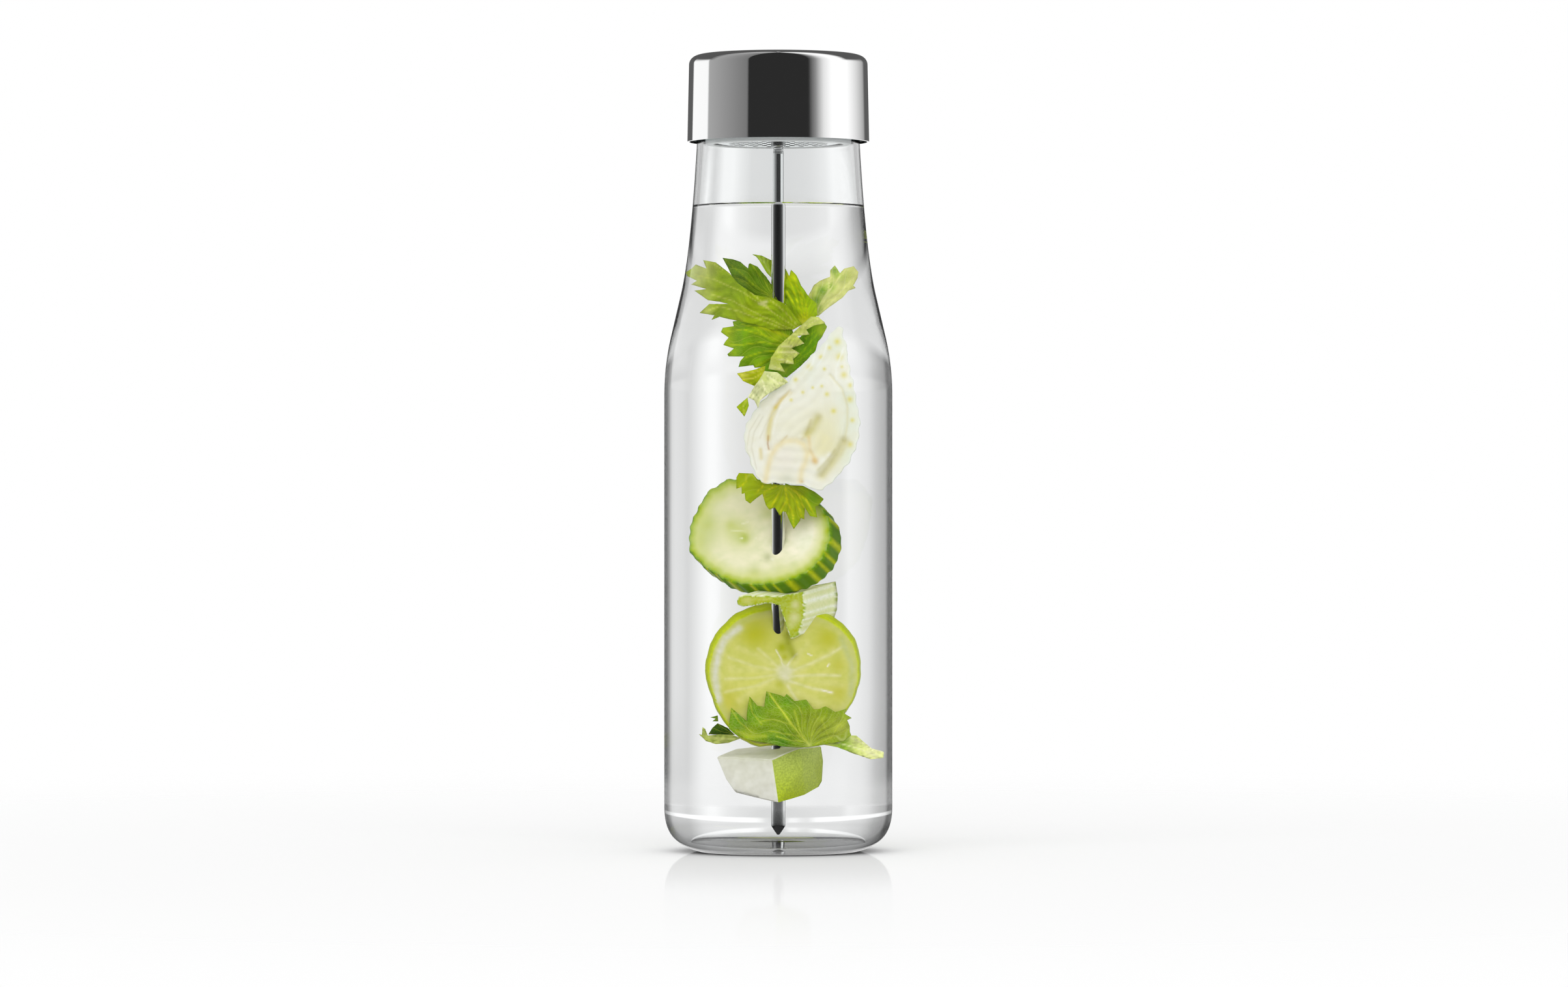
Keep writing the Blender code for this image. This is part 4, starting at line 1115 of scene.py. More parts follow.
leafDefaults = {"rise": 0, "slant": 0, "curl": 0, "crease": 0.5, "step": 2.6}
leafForm = {  # distances over the leaf in pixels, and heights in millimetres
    "backShare": 0.3,  # how far veins may run back past the stalk
    "fanWave": (0.1, 11),
    "curlReach": 60,
    "rippleHeight": 0.3,
    "rippleLength": 6,
    "rippleTurns": 5,
    "flatAtStalk": 30,
}


# A leaf: a thin curled sheet whose veins spread from its stalk to the tips of its lobes
def makeLeaf(name, leaf):
    look = {**leafDefaults, **leaf}
    flat, faces, border = filled(spots(look, look["outline"]), look["step"])
    stalk, tip = spots(look, look["stalk"]), spots(look, look["tip"])
    length = np.linalg.norm(tip - stalk)
    main = (tip - stalk) / length
    reach = np.linalg.norm(flat - stalk, axis=1)
    ahead = (flat - stalk) @ main
    aside = (flat - stalk) @ np.array([-main[1], main[0]])
    angle = np.arctan2(aside, np.maximum(ahead, -leafForm["backShare"] * reach))
    swing, waveLength = leafForm["fanWave"]
    fan = (angle + swing * np.sin(reach / waveLength)) / look["spread"]
    depth = look["depth"] + look["rise"] * ahead / 100 + look["slant"] * aside / 100
    depth += np.clip((aside / leafForm["curlReach"]) ** 2, 0, 2) * look["curl"]
    lobes = look["crease"] * np.cos(2 * math.pi * fan)
    ripple = np.sin(reach / leafForm["rippleLength"] + angle * leafForm["rippleTurns"])
    eased = np.clip(reach / leafForm["flatAtStalk"], 0, 1)
    depth += (lobes + leafForm["rippleHeight"] * ripple) * eased
    item = addShape(name, seenPoints(flat, depth * mm), faces, None, [look["material"]], 0)
    veins = item.data.uv_layers.new(name="veins")
    corners = np.zeros(len(item.data.loops), np.int32)
    item.data.loops.foreach_get("vertex_index", corners)
    unit = leafVeins["unit"] * mm * photo["pixelsPerMetre"]
    places = np.column_stack([fan, reach / unit])[corners]
    veins.data.foreach_set("uv", places.astype(np.float32).ravel())
    finishShape(item, painted(flat, look, border), False)
    sheet = item.modifiers.new("sheet", "SOLIDIFY")
    sheet.thickness = contents["leafThickness"]
    sheet.offset = 0


# Stripes across a rind, a little uneven in width. count is how many there are, width the light share
def stripes(dark, light, count, width):
    unevenness, unevenTurns, firmness = 0.3, 40, 1.2

    def tint(along, share):
        shift = unevenness * np.sin(along * unevenTurns)
        level = np.abs((along * count + shift) % 1.0 - 0.5) * 2
        return fadedTint(dark, light, (level - (1 - width)) / width * firmness)
    return tint


def evenTint(code, farCode):
    return lambda along, share: fadedTint(code, farCode, np.full(len(along), share))


cucumberFlesh = fleshMaterial("wet_cucumber_flesh", "#cdd796", 3.2, 0.4, 0.3, 0.4)  # pale, glassy seeds
cucumberRind = fleshMaterial("cucumber_rind", "#4a7d02", 1.6, 0.35, 0.1, 0.35)  # dark green, waxy
limeFlesh = fleshMaterial("cut_lime_flesh", "#b4bb3a", 2.2, 0.45, 0.3, 0.3)  # wet segments, bright rims
limeRind = fleshMaterial("lime_rind", "#8bac10", 0.9, 0.4, 0.12, 0.35)  # fine pores, waxy
fennelFlesh = fleshMaterial("cut_fennel", "#e9e4c6", 3.5, 0.45, 0.2)  # white, layered
celeryFlesh = fleshMaterial("celery_stalk", "#cfdf86", 0.9, 0.45, 0.15)  # stringy, pale green
appleFlesh = fleshMaterial("cut_apple", "#dedac2", 3.0, 0.5, 0.12)  # cream, nearly matt
appleSkin = fleshMaterial("apple_skin", "#7f9a2c", 0.6, 0.55, 0.05, 0.3)  # speckled green, smooth
leafGreen = leafMaterial("celery_leaf", "#c2cc4a", 0.3, 0.5)  # fresh green with light veins
leafPale = leafMaterial("celery_leaf_underside", "#ebeeb4", 0.3, 0.5)  # the paler back of the leaf
leafNetted = leafMaterial("celery_leaf_netted", "#c3cc74", 0.5, 0.5)  # a large leaf, whose net shows

slices = {
    "cucumber_slice": {
        "corner": (1050, 730), "step": 2.6, "wave": (0.7, 17.0), "axisRow": 115, "sideTilt": -0.45,
        "riseTilt": 0.52, "depth": -1.4, "thickness": 9.0, "drift": (18, 17), "backScale": 0.97,
        "turnShare": 0.12, "faceScale": (0.985, 0.985), "toning": (1.02, 0.97, 0.88),
        "materials": [cucumberFlesh, cucumberRind], "tint": "#f0f0da",
        "edges": [(17, 9, "#cfd894"), (7.5, 4.0, "#a6bb3c"), (2.4, 1.8, "#76a01a")],
        "rimTint": stripes("#5b7d00", "#b9bf1a", 26, 0.5),
        "outline": [
            (83, 4), (65, 5), (49, 16), (35, 24), (30, 34), (22, 47), (14, 63), (8, 79), (7, 99), (7, 116),
            (19, 128), (29, 139), (44, 149), (58, 158), (76, 165), (94, 168), (115, 169), (133, 168),
            (147, 166), (161, 162), (176, 157), (190, 150), (202, 140), (213, 129), (220, 116), (225, 102),
            (227, 88), (225, 72), (220, 59), (213, 49), (201, 36), (183, 24), (161, 13), (133, 6), (106, 3),
        ],
        "patches": [
            (34, 73, 22, "#b9c876", 0.8), (25, 101, 22, "#c0cb86", 0.8), (54, 28, 16, "#c9d596", 0.6),
            (83, 86, 22, "#cbd48c", 0.8), (93, 96, 9, "#aebf58", 0.9), (72, 76, 9, "#c0cc78", 0.6),
            (109, 149, 11, "#c0ca8a", 0.8), (168, 135, 8, "#cdd49c", 0.8), (148, 140, 12, "#d6dba8", 0.7),
            # Painted light and shade: the small dark spot at (156, 99) is the rod's shadow, and the large
            # near-white patch at (189, 99) lightens the right of the face against the shadow of the leaves
            (129, 125, 7, "#aeb58c", 0.8), (156, 99, 5, "#8d9848", 0.8), (189, 99, 44, "#fffef2", 1.0),
            (129, 57, 12, "#ccd58e", 0.6),
        ],
        "strokes": [
            (1.1, "#f6f7e6", 0.8, [[(90, 74), (99, 71)]]),
            (1.0, "#eff2d8", 0.7, [[(73, 84), (96, 86)]]),
            (0.8, "#fbfcf0", 0.9, [[(86, 97), (91, 96)]]),
            (0.8, "#fbfcf0", 0.8, [[(109, 97), (112, 96)]]),
            (0.9, "#f2f4dc", 0.6, [[(109, 86), (117, 91)]]),
            # Painted highlights: these two white marks are glints on a wet spot
            (1.2, "#ffffff", 0.9, [[(135, 128), (137, 129)]]),
            (0.9, "#ffffff", 0.8, [[(133, 106), (135, 112)]]),
            (1.2, "#d9dcc0", 0.6, [[(117, 130), (129, 133)]]),
        ],
    },
    "lime_slice": {
        "corner": (1080, 920), "step": 2.4, "wave": (0.35, 30.0), "axisRow": 52, "sideTilt": 0.0,
        "riseTilt": 0.36, "depth": -2.0, "thickness": 10.0, "drift": (0, 0), "backScale": 0.8,
        "turnShare": 0.5, "faceScale": (0.96, 0.945), "faceShift": (1, 4), "toning": (1.0, 0.92, 1.05),
        "materials": [limeFlesh, limeRind], "tint": "#ced47c",
        "edges": [(9, 5.0, "#c6cd7e"), (1.2, 1.6, "#c2d63a")], "rimTint": evenTint("#ccd552", "#a8b42a"),
        "outline": [
            (3, 107), (4, 93), (7, 80), (11, 68), (18, 54), (28, 42), (39, 30), (51, 21), (66, 14), (80, 9),
            (94, 6), (116, 5), (141, 7), (168, 12), (187, 20), (201, 27), (214, 37), (225, 48), (233, 61),
            (239, 77), (242, 96), (242, 114), (240, 130), (235, 145), (229, 159), (219, 173), (209, 186),
            (194, 198), (176, 209), (155, 217), (132, 221), (109, 224), (87, 226), (73, 223), (59, 215),
            (42, 200), (30, 186), (22, 173), (16, 159), (9, 139), (4, 123),
        ],
        "patches": [
            # The first patch, darker olive at (80, 53), is painted shadow
            (80, 53, 28, "#b2b836", 0.85), (39, 155, 22, "#c2c04a", 0.6), (80, 128, 26, "#d6db78", 0.7),
            (191, 60, 22, "#b4ba3e", 0.8), (207, 101, 12, "#b9bd4c", 0.7), (207, 142, 16, "#bdbf52", 0.7),
            (169, 101, 24, "#d0d674", 0.7), (159, 142, 24, "#d4d97c", 0.6), (121, 74, 9, "#9ba626", 0.95),
            (125, 89, 6, "#a5ae34", 0.8), (119, 128, 8, "#b4ba44", 0.8),
        ],
        "strokes": [
            (2.4, "#e2e5ae", 0.5, [
                [(121, 110), (80, 103), (39, 89)], [(119, 114), (76, 121), (34, 122)],
                [(119, 117), (80, 133), (34, 142)], [(118, 108), (101, 90), (84, 76)],
            ]),
            (1.1, "#e9ebc6", 0.9, [[(123, 103), (118, 89), (112, 78)], [(130, 101), (137, 90), (144, 83)]]),
            (2.4, "#e4e7b8", 0.6, [
                [(135, 110), (159, 101), (194, 85), (216, 71)], [(137, 118), (173, 116), (210, 117)],
                [(135, 126), (162, 135), (198, 143)], [(130, 133), (141, 151), (151, 164)],
            ]),
            (5.0, "#dde09a", 0.4, [
                [(105, 99), (80, 85), (55, 74)], [(98, 110), (66, 108), (44, 106)],
                [(101, 126), (73, 142), (55, 156)], [(146, 110), (173, 96), (201, 78)],
                [(151, 122), (180, 126), (212, 131)], [(141, 99), (151, 78), (160, 69)],
                [(141, 139), (160, 151), (180, 160)],
            ]),
            # Painted highlights: short near-white glints on the wet pulp
            (0.9, "#fbfbe8", 0.9, [
                [(182, 139), (197, 143)], [(160, 83), (166, 86)], [(191, 103), (194, 99)],
            ]),
            (8.0, "#dde1b8", 0.85, [[(121, 114), (130, 110)], [(123, 106), (128, 121)]]),
            (5.5, "#dde3cc", 0.9, [[(55, 44), (34, 60), (23, 85), (18, 114), (23, 155)]]),
            (7.0, "#7f8a12", 0.7, [[(128, 55), (132, 71), (138, 85)]]),
            (5.0, "#bcc88a", 0.8, [[(212, 60), (228, 99), (227, 146)]]),
        ],
    },
    "celery_piece": {
        "corner": (1130, 900), "step": 2.0, "axisRow": 50, "sideTilt": 0.25, "riseTilt": -0.1,
        "depth": -6.0, "thickness": 9.0, "drift": (46, -13), "backScale": 1.1, "turnShare": 0.06,
        "rimRows": 16, "faceScale": (0.985, 0.985), "toning": (0.9, 0.82, 0.7),
        "materials": [celeryFlesh, celeryFlesh], "tint": "#b4c52c", "edges": [(1.6, 1.2, "#a3c312")],
        "rimTint": stripes("#e9eabc", "#fffff0", 26, 0.62),
        "outline": [
            (1, 22), (4, 15), (30, 14), (64, 15), (83, 12), (103, 8), (106, 27), (105, 47), (99, 66),
            (96, 75), (85, 81), (79, 66), (75, 53), (69, 35), (67, 29), (59, 27), (47, 25), (30, 29),
            (9, 31), (2, 28),
        ],
        "patches": [
            (91, 28, 7, "#e6ebc4", 0.9), (90, 48, 9, "#e4eac0", 0.95), (85, 59, 6, "#dde5b0", 0.7),
            (18, 21, 8, "#dde2a0", 0.8), (41, 21, 7, "#ccd478", 0.6), (73, 16, 14, "#a8bb1c", 0.7),
        ],
        "strokes": [
            (1.4, "#d2da7e", 0.7, [[(9, 22), (30, 20), (55, 19)]]),
            # Painted highlights: tiny white glints along the right border
            (1.0, "#ffffff", 0.9, [
                [(103, 28), (104, 29)], [(104, 48), (105, 48)], [(98, 66), (99, 67)],
                [(102, 58), (103, 59)],
            ]),
        ],
    },
}
for sliceName, sliceLook in slices.items():
    makeSlice(sliceName, sliceLook)
print("slices made")

fennel = {
    "corner": (1140, 500), "wave": (0.9, 21.0), "step": 1.9, "axisRow": 140, "sideTilt": -0.12,
    "riseTilt": 0.05, "depth": -8.5, "thickness": 15.0, "edgeThickness": 2.5, "relief": 0.12,
    "frontRound": 4, "backRound": 6,
    "layerWidth": 15.0, "materials": [fennelFlesh], "tint": "#f4f2e6", "dotTint": ("#dfd56e", 0.85),
    "edges": [(2.2, 1.8, "#eef1e6")],
    "outline": [
        (149, 3), (154, 7), (156, 22), (161, 32), (161, 48), (165, 61), (165, 74), (170, 83), (172, 97),
        (174, 111), (178, 129), (181, 151), (179, 169), (174, 190), (163, 211), (145, 233), (124, 252),
        (113, 252), (95, 245), (70, 243), (29, 241), (22, 231), (13, 211), (4, 186), (2, 165), (8, 149),
        (15, 136), (25, 122), (41, 104), (70, 86), (84, 72), (106, 47), (127, 26), (136, 13), (143, 5),
    ],
    "grooves": [
        (3.6, 0.7, [(73, 101), (56, 117), (44, 142), (40, 166), (41, 190)]),
        (7.0, 1.2, [(155, 179), (147, 197), (135, 214), (122, 231)]),
        (7.0, 0.7, [(116, 142), (109, 154), (103, 164)]),
        (2.6, 0.5, [(135, 76), (153, 97), (161, 124), (161, 152), (156, 176)]),
        (4.0, 0.3, [(53, 185), (66, 175), (82, 173), (94, 179), (102, 195)]),
    ],
    "patches": [
        (130, 159, 34, "#ece8c4", 0.85), (125, 185, 22, "#eae2b2", 0.8), (80, 154, 30, "#f1eeda", 0.7),
        (142, 30, 22, "#e4ead4", 0.7), (168, 111, 22, "#e6ecdc", 0.8), (170, 154, 22, "#e9eee0", 0.8),
        # The greyish patch at (68, 236) is painted shade near the bottom of the bulb
        (165, 202, 22, "#e6ebd6", 0.7), (66, 205, 24, "#efe9dc", 0.8), (68, 236, 12, "#cfcfb8", 0.6),
        (101, 71, 24, "#eef0e2", 0.7), (125, 209, 8, "#fdfdf6", 0.9), (135, 200, 5, "#ffffff", 0.9),
        (91, 240, 3, "#b8955a", 0.8), (94, 248, 4, "#e2d8b2", 0.7), (111, 207, 5, "#dcb166", 0.8),
    ],
    "dots": [
        (146, 26, 5.0), (134, 35, 3.2), (149, 49, 5.4), (121, 49, 3.6), (156, 76, 4.8), (103, 64, 4.4),
        (166, 92, 3.6), (165, 113, 4.8), (140, 131, 4.4), (130, 105, 3.6), (108, 95, 2.2), (122, 93, 2.4),
        (93, 102, 2.6), (75, 114, 2.6), (82, 83, 3.4), (169, 145, 3.6), (165, 182, 4.6), (153, 64, 2.4),
        (126, 67, 2.6),
    ],
    "strokes": [
        # The gap lines between layers: partly the cut's own yellowing, partly painted shade in the gap
        (3.0, "#d8bf62", 0.7, [[(73, 102), (60, 113), (51, 126)]]),
        (4.0, "#dccd7c", 0.7, [[(51, 126), (44, 142), (41, 159), (40, 173)]]),
        (1.3, "#a8702c", 0.7, [[(40, 169), (39, 181), (41, 190)]]),
        (3.0, "#d9c884", 0.6, [[(28, 190), (29, 203)]]),
        (1.4, "#cfb880", 0.5, [[(69, 169), (60, 178)], [(97, 169), (91, 174)]]),
        # Painted shade: this olive band and its thin darker edge darken the hollow between layers, over the
        # groove there
        (7.5, "#cbc488", 0.85, [[(116, 142), (110, 154), (104, 162), (99, 167)]]),
        (2.6, "#bcae68", 0.4, [[(105, 145), (102, 155), (98, 166)]]),
        (5.0, "#ead9a6", 0.65, [
            [(35, 240), (39, 219), (44, 200), (53, 186), (66, 177), (82, 176), (94, 182), (100, 195),
             (97, 210), (91, 222), (89, 238)],
        ]),
        (3.2, "#e2c68a", 0.5, [[(102, 171), (104, 190), (113, 210)]]),
        # Painted shade: this olive band and its thin darker edge darken the lower hollow between layers,
        # over the groove there
        (8.0, "#cdc690", 0.8, [[(156, 178), (147, 195), (135, 212), (122, 229)]]),
        (2.2, "#b8ae70", 0.4, [[(142, 191), (130, 207), (116, 221)]]),
        (1.0, "#dad6c4", 0.7, [
            [(27, 136), (11, 162), (7, 188), (15, 222)], [(32, 140), (18, 164), (14, 186), (22, 221)],
            [(66, 114), (39, 145), (27, 173)],
        ]),
        (1.6, "#ddd7b0", 0.6, [[(135, 76), (153, 97), (161, 124), (161, 152), (157, 174)]]),
        (1.6, "#fbfaf2", 0.7, [[(80, 93), (60, 121), (51, 145), (47, 166)]]),
        (1.6, "#fafbf4", 0.7, [
            [(111, 45), (108, 59), (91, 80)], [(130, 28), (125, 47), (115, 64)],
            [(156, 35), (144, 67), (144, 83)],
        ]),
    ],
}
makeBulb("fennel_half", fennel)
print("fennel made")

apple = {
    "flatAngle": 4, "cutAngle": 25, "smoothAngle": 58, "skinNormal": (0.35, 0.6),
    "corner": (1100, 1140), "skinStart": (94, 92), "skinDepth": -13, "bevel": 0.35, "cell": 1.6,
    "cuts": 4, "cutTints": ("#fffcf2", "#fffcee"), "skinTints": ("#cbdc48", "#d8e48c"),
    "materials": [appleFlesh, appleSkin],
    "corners": [
        (0.3, 21.5, 2), (14.8, 56, -1), (28.8, 76, -4), (42, 77.8, -7), (63, 84.5, -10), (94.2, 91.8, -13),
        (84, 26.4, -13), (105, 16.7, -12), (127, 8, -9), (147.5, 6.4, -3), (161, 4.5, 3), (164.5, 27.6, 5),
        (162.7, 57.9, 4), (157, 67.5, 1), (135.4, 79.7, -6), (115, 86, -10), (132, 40, -10), (150, 40, -4),
        (30, 9.4, 12), (87, 3, 15), (140, 3, 14), (45, 65, 10), (90, 82, 9), (140, 65, 10),
    ],
}
makeChunk("apple_chunk", apple)
print("apple made")

leaves = {
    "leaf_right_pale": {
        "corner": (1240, 400), "toning": (0.98, 0.94, 0.5), "material": leafPale, "stalk": (13, 88),
        "tip": (71, 19), "depth": 2.2, "rise": 5, "curl": 2, "spread": 0.3, "tint": "#dfe6c0",
        "outline": [
            (2, 55), (10, 39), (19, 32), (35, 26), (35, 16), (42, 9), (50, 21), (57, 14), (71, 11),
            (78, 20), (77, 29), (70, 41), (74, 45), (63, 49), (53, 60), (33, 73), (16, 87), (8, 73),
        ],
        "patches": [
            (23, 48, 9, "#76a400", 1.0), (36, 42, 7, "#82aa08", 0.95), (14, 63, 8, "#78a800", 1.0),
            (42, 17, 8, "#86ae08", 1.0), (49, 26, 6, "#93b82a", 0.8), (17, 75, 6, "#a4c83c", 0.8),
            (59, 27, 9, "#c3d488", 0.7), (29, 67, 7, "#d9e2b4", 0.6),
        ],
        "strokes": [
            (1.1, "#f4f6e2", 0.85, [
                [(10, 86), (27, 57), (48, 29), (59, 14)], [(13, 88), (42, 61), (71, 29)],
                [(23, 69), (32, 48), (35, 21)],
            ]),
        ],
    },
    "leaf_right": {
        "corner": (1200, 410), "toning": (1.18, 1.04, 0.4), "material": leafGreen, "stalk": (38, 93),
        "tip": (10, 4), "depth": -0.5, "rise": 2, "curl": -2, "spread": 0.2, "tint": "#8fb41a",
        "outline": [
            (6, 3), (12, 15), (15, 5), (23, 13), (30, 29), (42, 47), (54, 57), (55, 75), (40, 89), (26, 91),
            (10, 61), (6, 57),
        ],
        "patches": [
            (46, 65, 14, "#a9cf00", 0.85), (35, 87, 12, "#dce6a0", 0.9), (15, 15, 10, "#b9cf5e", 0.7),
            (15, 49, 12, "#7ea814", 0.7),
        ],
        "strokes": [
            (0.9, "#cfe07a", 0.8, [
                [(35, 84), (21, 44), (10, 13)], [(37, 80), (30, 49), (19, 15)],
                [(40, 76), (38, 57), (29, 38)], [(25, 65), (15, 51), (8, 38)],
            ]),
        ],
    },
    "leaf_upper_thin": {
        "corner": (1150, 390), "material": leafGreen, "stalk": (36, 39), "tip": (6, 1), "depth": 1.0,
        "rise": 4, "spread": 0.2, "tint": "#a3c046",
        "outline": [(6, 1), (20, 3), (28, 7), (36, 11), (37, 39), (28, 30), (20, 16), (13, 6)],
        "patches": [(25, 8, 8, "#b6cc66", 0.7)],
        "strokes": [
            (1.0, "#c9d98a", 0.8, [[(8, 2), (25, 14), (35, 33)]]),
        ],
    },
    "leaf_upper_dark": {
        "corner": (1110, 390), "toning": (0.72, 0.64, 0.05), "material": leafGreen, "stalk": (77, 67),
        "tip": (2, 8), "depth": -1.0, "rise": 3, "curl": 2, "spread": 0.25, "tint": "#72a010",
        "outline": [
            (0, 7), (15, 9), (27, 13), (39, 23), (40, 16), (42, 15), (53, 20), (66, 35), (77, 51), (77, 69),
            (49, 66), (23, 49), (13, 33), (7, 20),
        ],
        "patches": [
            (20, 22, 14, "#5c8c08", 0.7), (56, 37, 12, "#5e8f08", 0.7), (65, 62, 10, "#86ae2a", 0.6),
        ],
        "strokes": [
            (0.9, "#a8c848", 0.75, [
                [(77, 69), (48, 48), (20, 24), (4, 10)], [(77, 60), (60, 37), (44, 17)],
                [(48, 48), (29, 43), (18, 35)],
            ]),
        ],
    },
    "leaf_upper_left": {
        "corner": (1050, 400), "toning": (0.92, 0.82, 0.55), "material": leafGreen, "stalk": (184, 109),
        "tip": (17, 23), "depth": -4.6, "rise": 1, "curl": 1.5, "spread": 0.15, "tint": "#93b42a",
        "outline": [
            (5, 26), (2, 20), (12, 14), (18, 8), (35, 14), (30, 1), (49, 4), (59, 12), (71, 21), (83, 36),
            (109, 54), (136, 58), (158, 69), (168, 83), (182, 99), (168, 107), (136, 107), (109, 99),
            (69, 91), (55, 88), (43, 93), (47, 86), (24, 83), (39, 69), (69, 68), (55, 65), (37, 63),
            (16, 49), (35, 46), (11, 39), (20, 33),
        ],
        "patches": [
            (28, 17, 24, "#bccd98", 0.95), (17, 38, 14, "#b9cb94", 0.9), (32, 54, 14, "#b4c88a", 0.9),
            (34, 82, 14, "#b6c98e", 0.9), (78, 38, 22, "#86a934", 0.7), (125, 69, 22, "#9dbb4e", 0.6),
            (156, 92, 16, "#a9cc1e", 0.8), (144, 84, 12, "#8ab010", 0.7), (91, 82, 16, "#a3bd5e", 0.7),
            (53, 88, 9, "#7fa33a", 0.7), (62, 27, 10, "#7fa33c", 0.6),
        ],
        "strokes": [
            (0.9, "#cddc96", 0.8, [
                [(179, 105), (154, 78), (116, 48), (74, 23), (38, 2)],
                [(175, 106), (137, 80), (91, 50), (45, 30), (17, 24)],
                [(171, 109), (120, 86), (74, 63), (41, 54)],
                [(167, 111), (127, 95), (85, 79), (55, 72), (30, 82)], [(158, 115), (116, 103), (80, 94)],
                [(137, 80), (108, 54), (89, 33)],
            ]),
            (2.2, "#e4ecd0", 0.85, [[(125, 69), (116, 67)], [(120, 66), (127, 64)]]),
            (1.2, "#6d9420", 0.7, [[(135, 59), (116, 54), (95, 36), (74, 17), (53, 8)]]),
        ],
    },
    "leaf_lower_left": {
        "corner": (1100, 490), "toning": (1.05, 0.92, 0.1), "material": leafGreen, "stalk": (113, 40),
        "tip": (7, 25), "depth": -3.0, "rise": 0.5, "crease": 0.3, "spread": 0.3,
        "tint": "#6f9e0c",
        "outline": [
            (25, 5), (43, 2), (78, 0), (114, 6), (118, 22), (108, 36), (98, 48), (88, 60), (83, 73),
            (59, 75), (57, 71), (34, 74), (37, 65), (43, 58), (19, 58), (17, 55), (27, 46), (11, 41),
            (14, 36), (19, 30), (7, 22), (10, 15), (27, 12),
        ],
        "patches": [
            (16, 21, 12, "#a3c04e", 0.85), (18, 38, 9, "#9bba44", 0.8), (24, 53, 9, "#8fb33c", 0.7),
            (66, 15, 14, "#8fb62c", 0.8), (92, 25, 14, "#a9c65a", 0.8), (75, 47, 16, "#659608", 0.8),
            (41, 30, 12, "#74a410", 0.6), (66, 70, 9, "#86ae26", 0.7),
        ],
        "strokes": [
            (0.9, "#b4d050", 0.8, [
                [(110, 40), (77, 27), (41, 17), (16, 21)], [(104, 42), (70, 36), (41, 40), (16, 42)],
                [(96, 49), (70, 51), (45, 59), (30, 68)], [(75, 27), (58, 13), (39, 9)],
                [(87, 59), (70, 68), (60, 74)],
            ]),
            (2.0, "#c9da84", 0.7, [[(117, 30), (92, 21), (66, 13)]]),
        ],
    },
    "leaf_behind_front": {
        "corner": (1170, 490), "toning": (1.1, 1.03, 0.15), "material": leafGreen, "stalk": (34, 80),
        "tip": (97, 9), "depth": -4.6, "rise": 1, "crease": 0.3, "spread": 0.12,
        "tint": "#639508",
        "outline": [
            (80, 1), (96, 7), (100, 13), (93, 28), (86, 36), (82, 50), (60, 72), (38, 90), (4, 82), (6, 70),
            (20, 63), (30, 55), (42, 38), (60, 28),
        ],
        "patches": [
            (91, 13, 12, "#9dbb4c", 0.8), (72, 38, 14, "#5a8c04", 0.7), (51, 63, 10, "#5f9206", 0.7),
            (93, 21, 6, "#b4cc74", 0.7),
        ],
        "strokes": [
            (0.9, "#9cc23c", 0.7, [
                [(36, 80), (59, 55), (80, 30), (95, 13)], [(49, 70), (76, 49), (93, 30)],
                [(68, 30), (83, 19), (93, 4)],
            ]),
        ],
    },
    "leaf_small_point": {
        "corner": (1130, 560), "toning": (1.4, 1.12, 0.9), "material": leafGreen, "stalk": (49, 6),
        "tip": (3, 17), "depth": -3.4, "rise": 1, "spread": 0.2, "tint": "#a9c33e",
        "outline": [(2, 14), (29, 8), (48, 1), (53, 8), (40, 22), (29, 33), (11, 25)],
        "patches": [(28, 27, 9, "#86ab1c", 0.7), (11, 15, 9, "#c6d87c", 0.7)],
        "strokes": [
            (0.9, "#d3e08c", 0.7, [[(49, 4), (28, 12), (5, 17)], [(47, 10), (28, 21), (11, 21)]]),
        ],
    },
    "leaf_front_pale": {
        "corner": (1180, 480), "toning": (1.08, 0.98, 0.75), "material": leafPale, "stalk": (5, 88),
        "tip": (83, 10), "depth": -7.4, "rise": 1, "spread": 0.1, "tint": "#c9d98c",
        "outline": [
            (66, 7), (77, 8), (87, 17), (70, 21), (58, 27), (63, 35), (44, 37), (55, 48), (35, 55),
            (48, 63), (38, 72), (39, 79), (18, 78), (25, 91), (0, 87), (4, 70), (16, 52), (34, 36),
            (50, 21),
        ],
        "patches": [
            (12, 73, 14, "#bdd25c", 0.8), (41, 44, 10, "#c5d67e", 0.6), (70, 14, 12, "#c3d58c", 0.7),
            (33, 57, 9, "#d3dfa0", 0.6),
        ],
        "strokes": [
            (0.8, "#e8efc8", 0.85, [
                [(20, 52), (37, 52), (55, 48)], [(16, 61), (33, 61), (48, 62)],
                [(9, 71), (24, 73), (38, 79)], [(5, 82), (16, 86), (25, 90)],
                [(35, 35), (49, 35), (61, 32)], [(49, 23), (62, 19), (79, 10)],
            ]),
            (0.7, "#9fba4e", 0.55, [
                [(18, 57), (41, 57)], [(13, 66), (33, 68)], [(7, 77), (22, 81)], [(28, 44), (47, 42)],
                [(41, 29), (56, 26)],
            ]),
        ],
    },
    "leaf_fold": {
        "corner": (1140, 570), "toning": (1.32, 1.18, 1.15), "material": leafPale, "stalk": (35, 0),
        "tip": (26, 53), "depth": -9.4, "rise": -2, "spread": 0.14, "tint": "#ccd9a8",
        "outline": [
            (34, 0), (54, 2), (63, 10), (70, 17), (54, 26), (40, 34), (27, 45), (24, 56), (19, 45), (9, 40),
            (17, 26), (27, 12),
        ],
        "patches": [(60, 15, 10, "#cddc96", 0.7), (35, 9, 9, "#b4cb5e", 0.6), (18, 38, 10, "#d0dbb2", 0.7)],
        "strokes": [
            (0.7, "#93a964", 0.6, [
                [(26, 11), (37, 21), (47, 28)], [(20, 19), (30, 28), (39, 36)],
                [(14, 28), (24, 38), (26, 49)], [(37, 4), (52, 13), (68, 17)],
                [(35, 7), (45, 19), (56, 23)],
            ]),
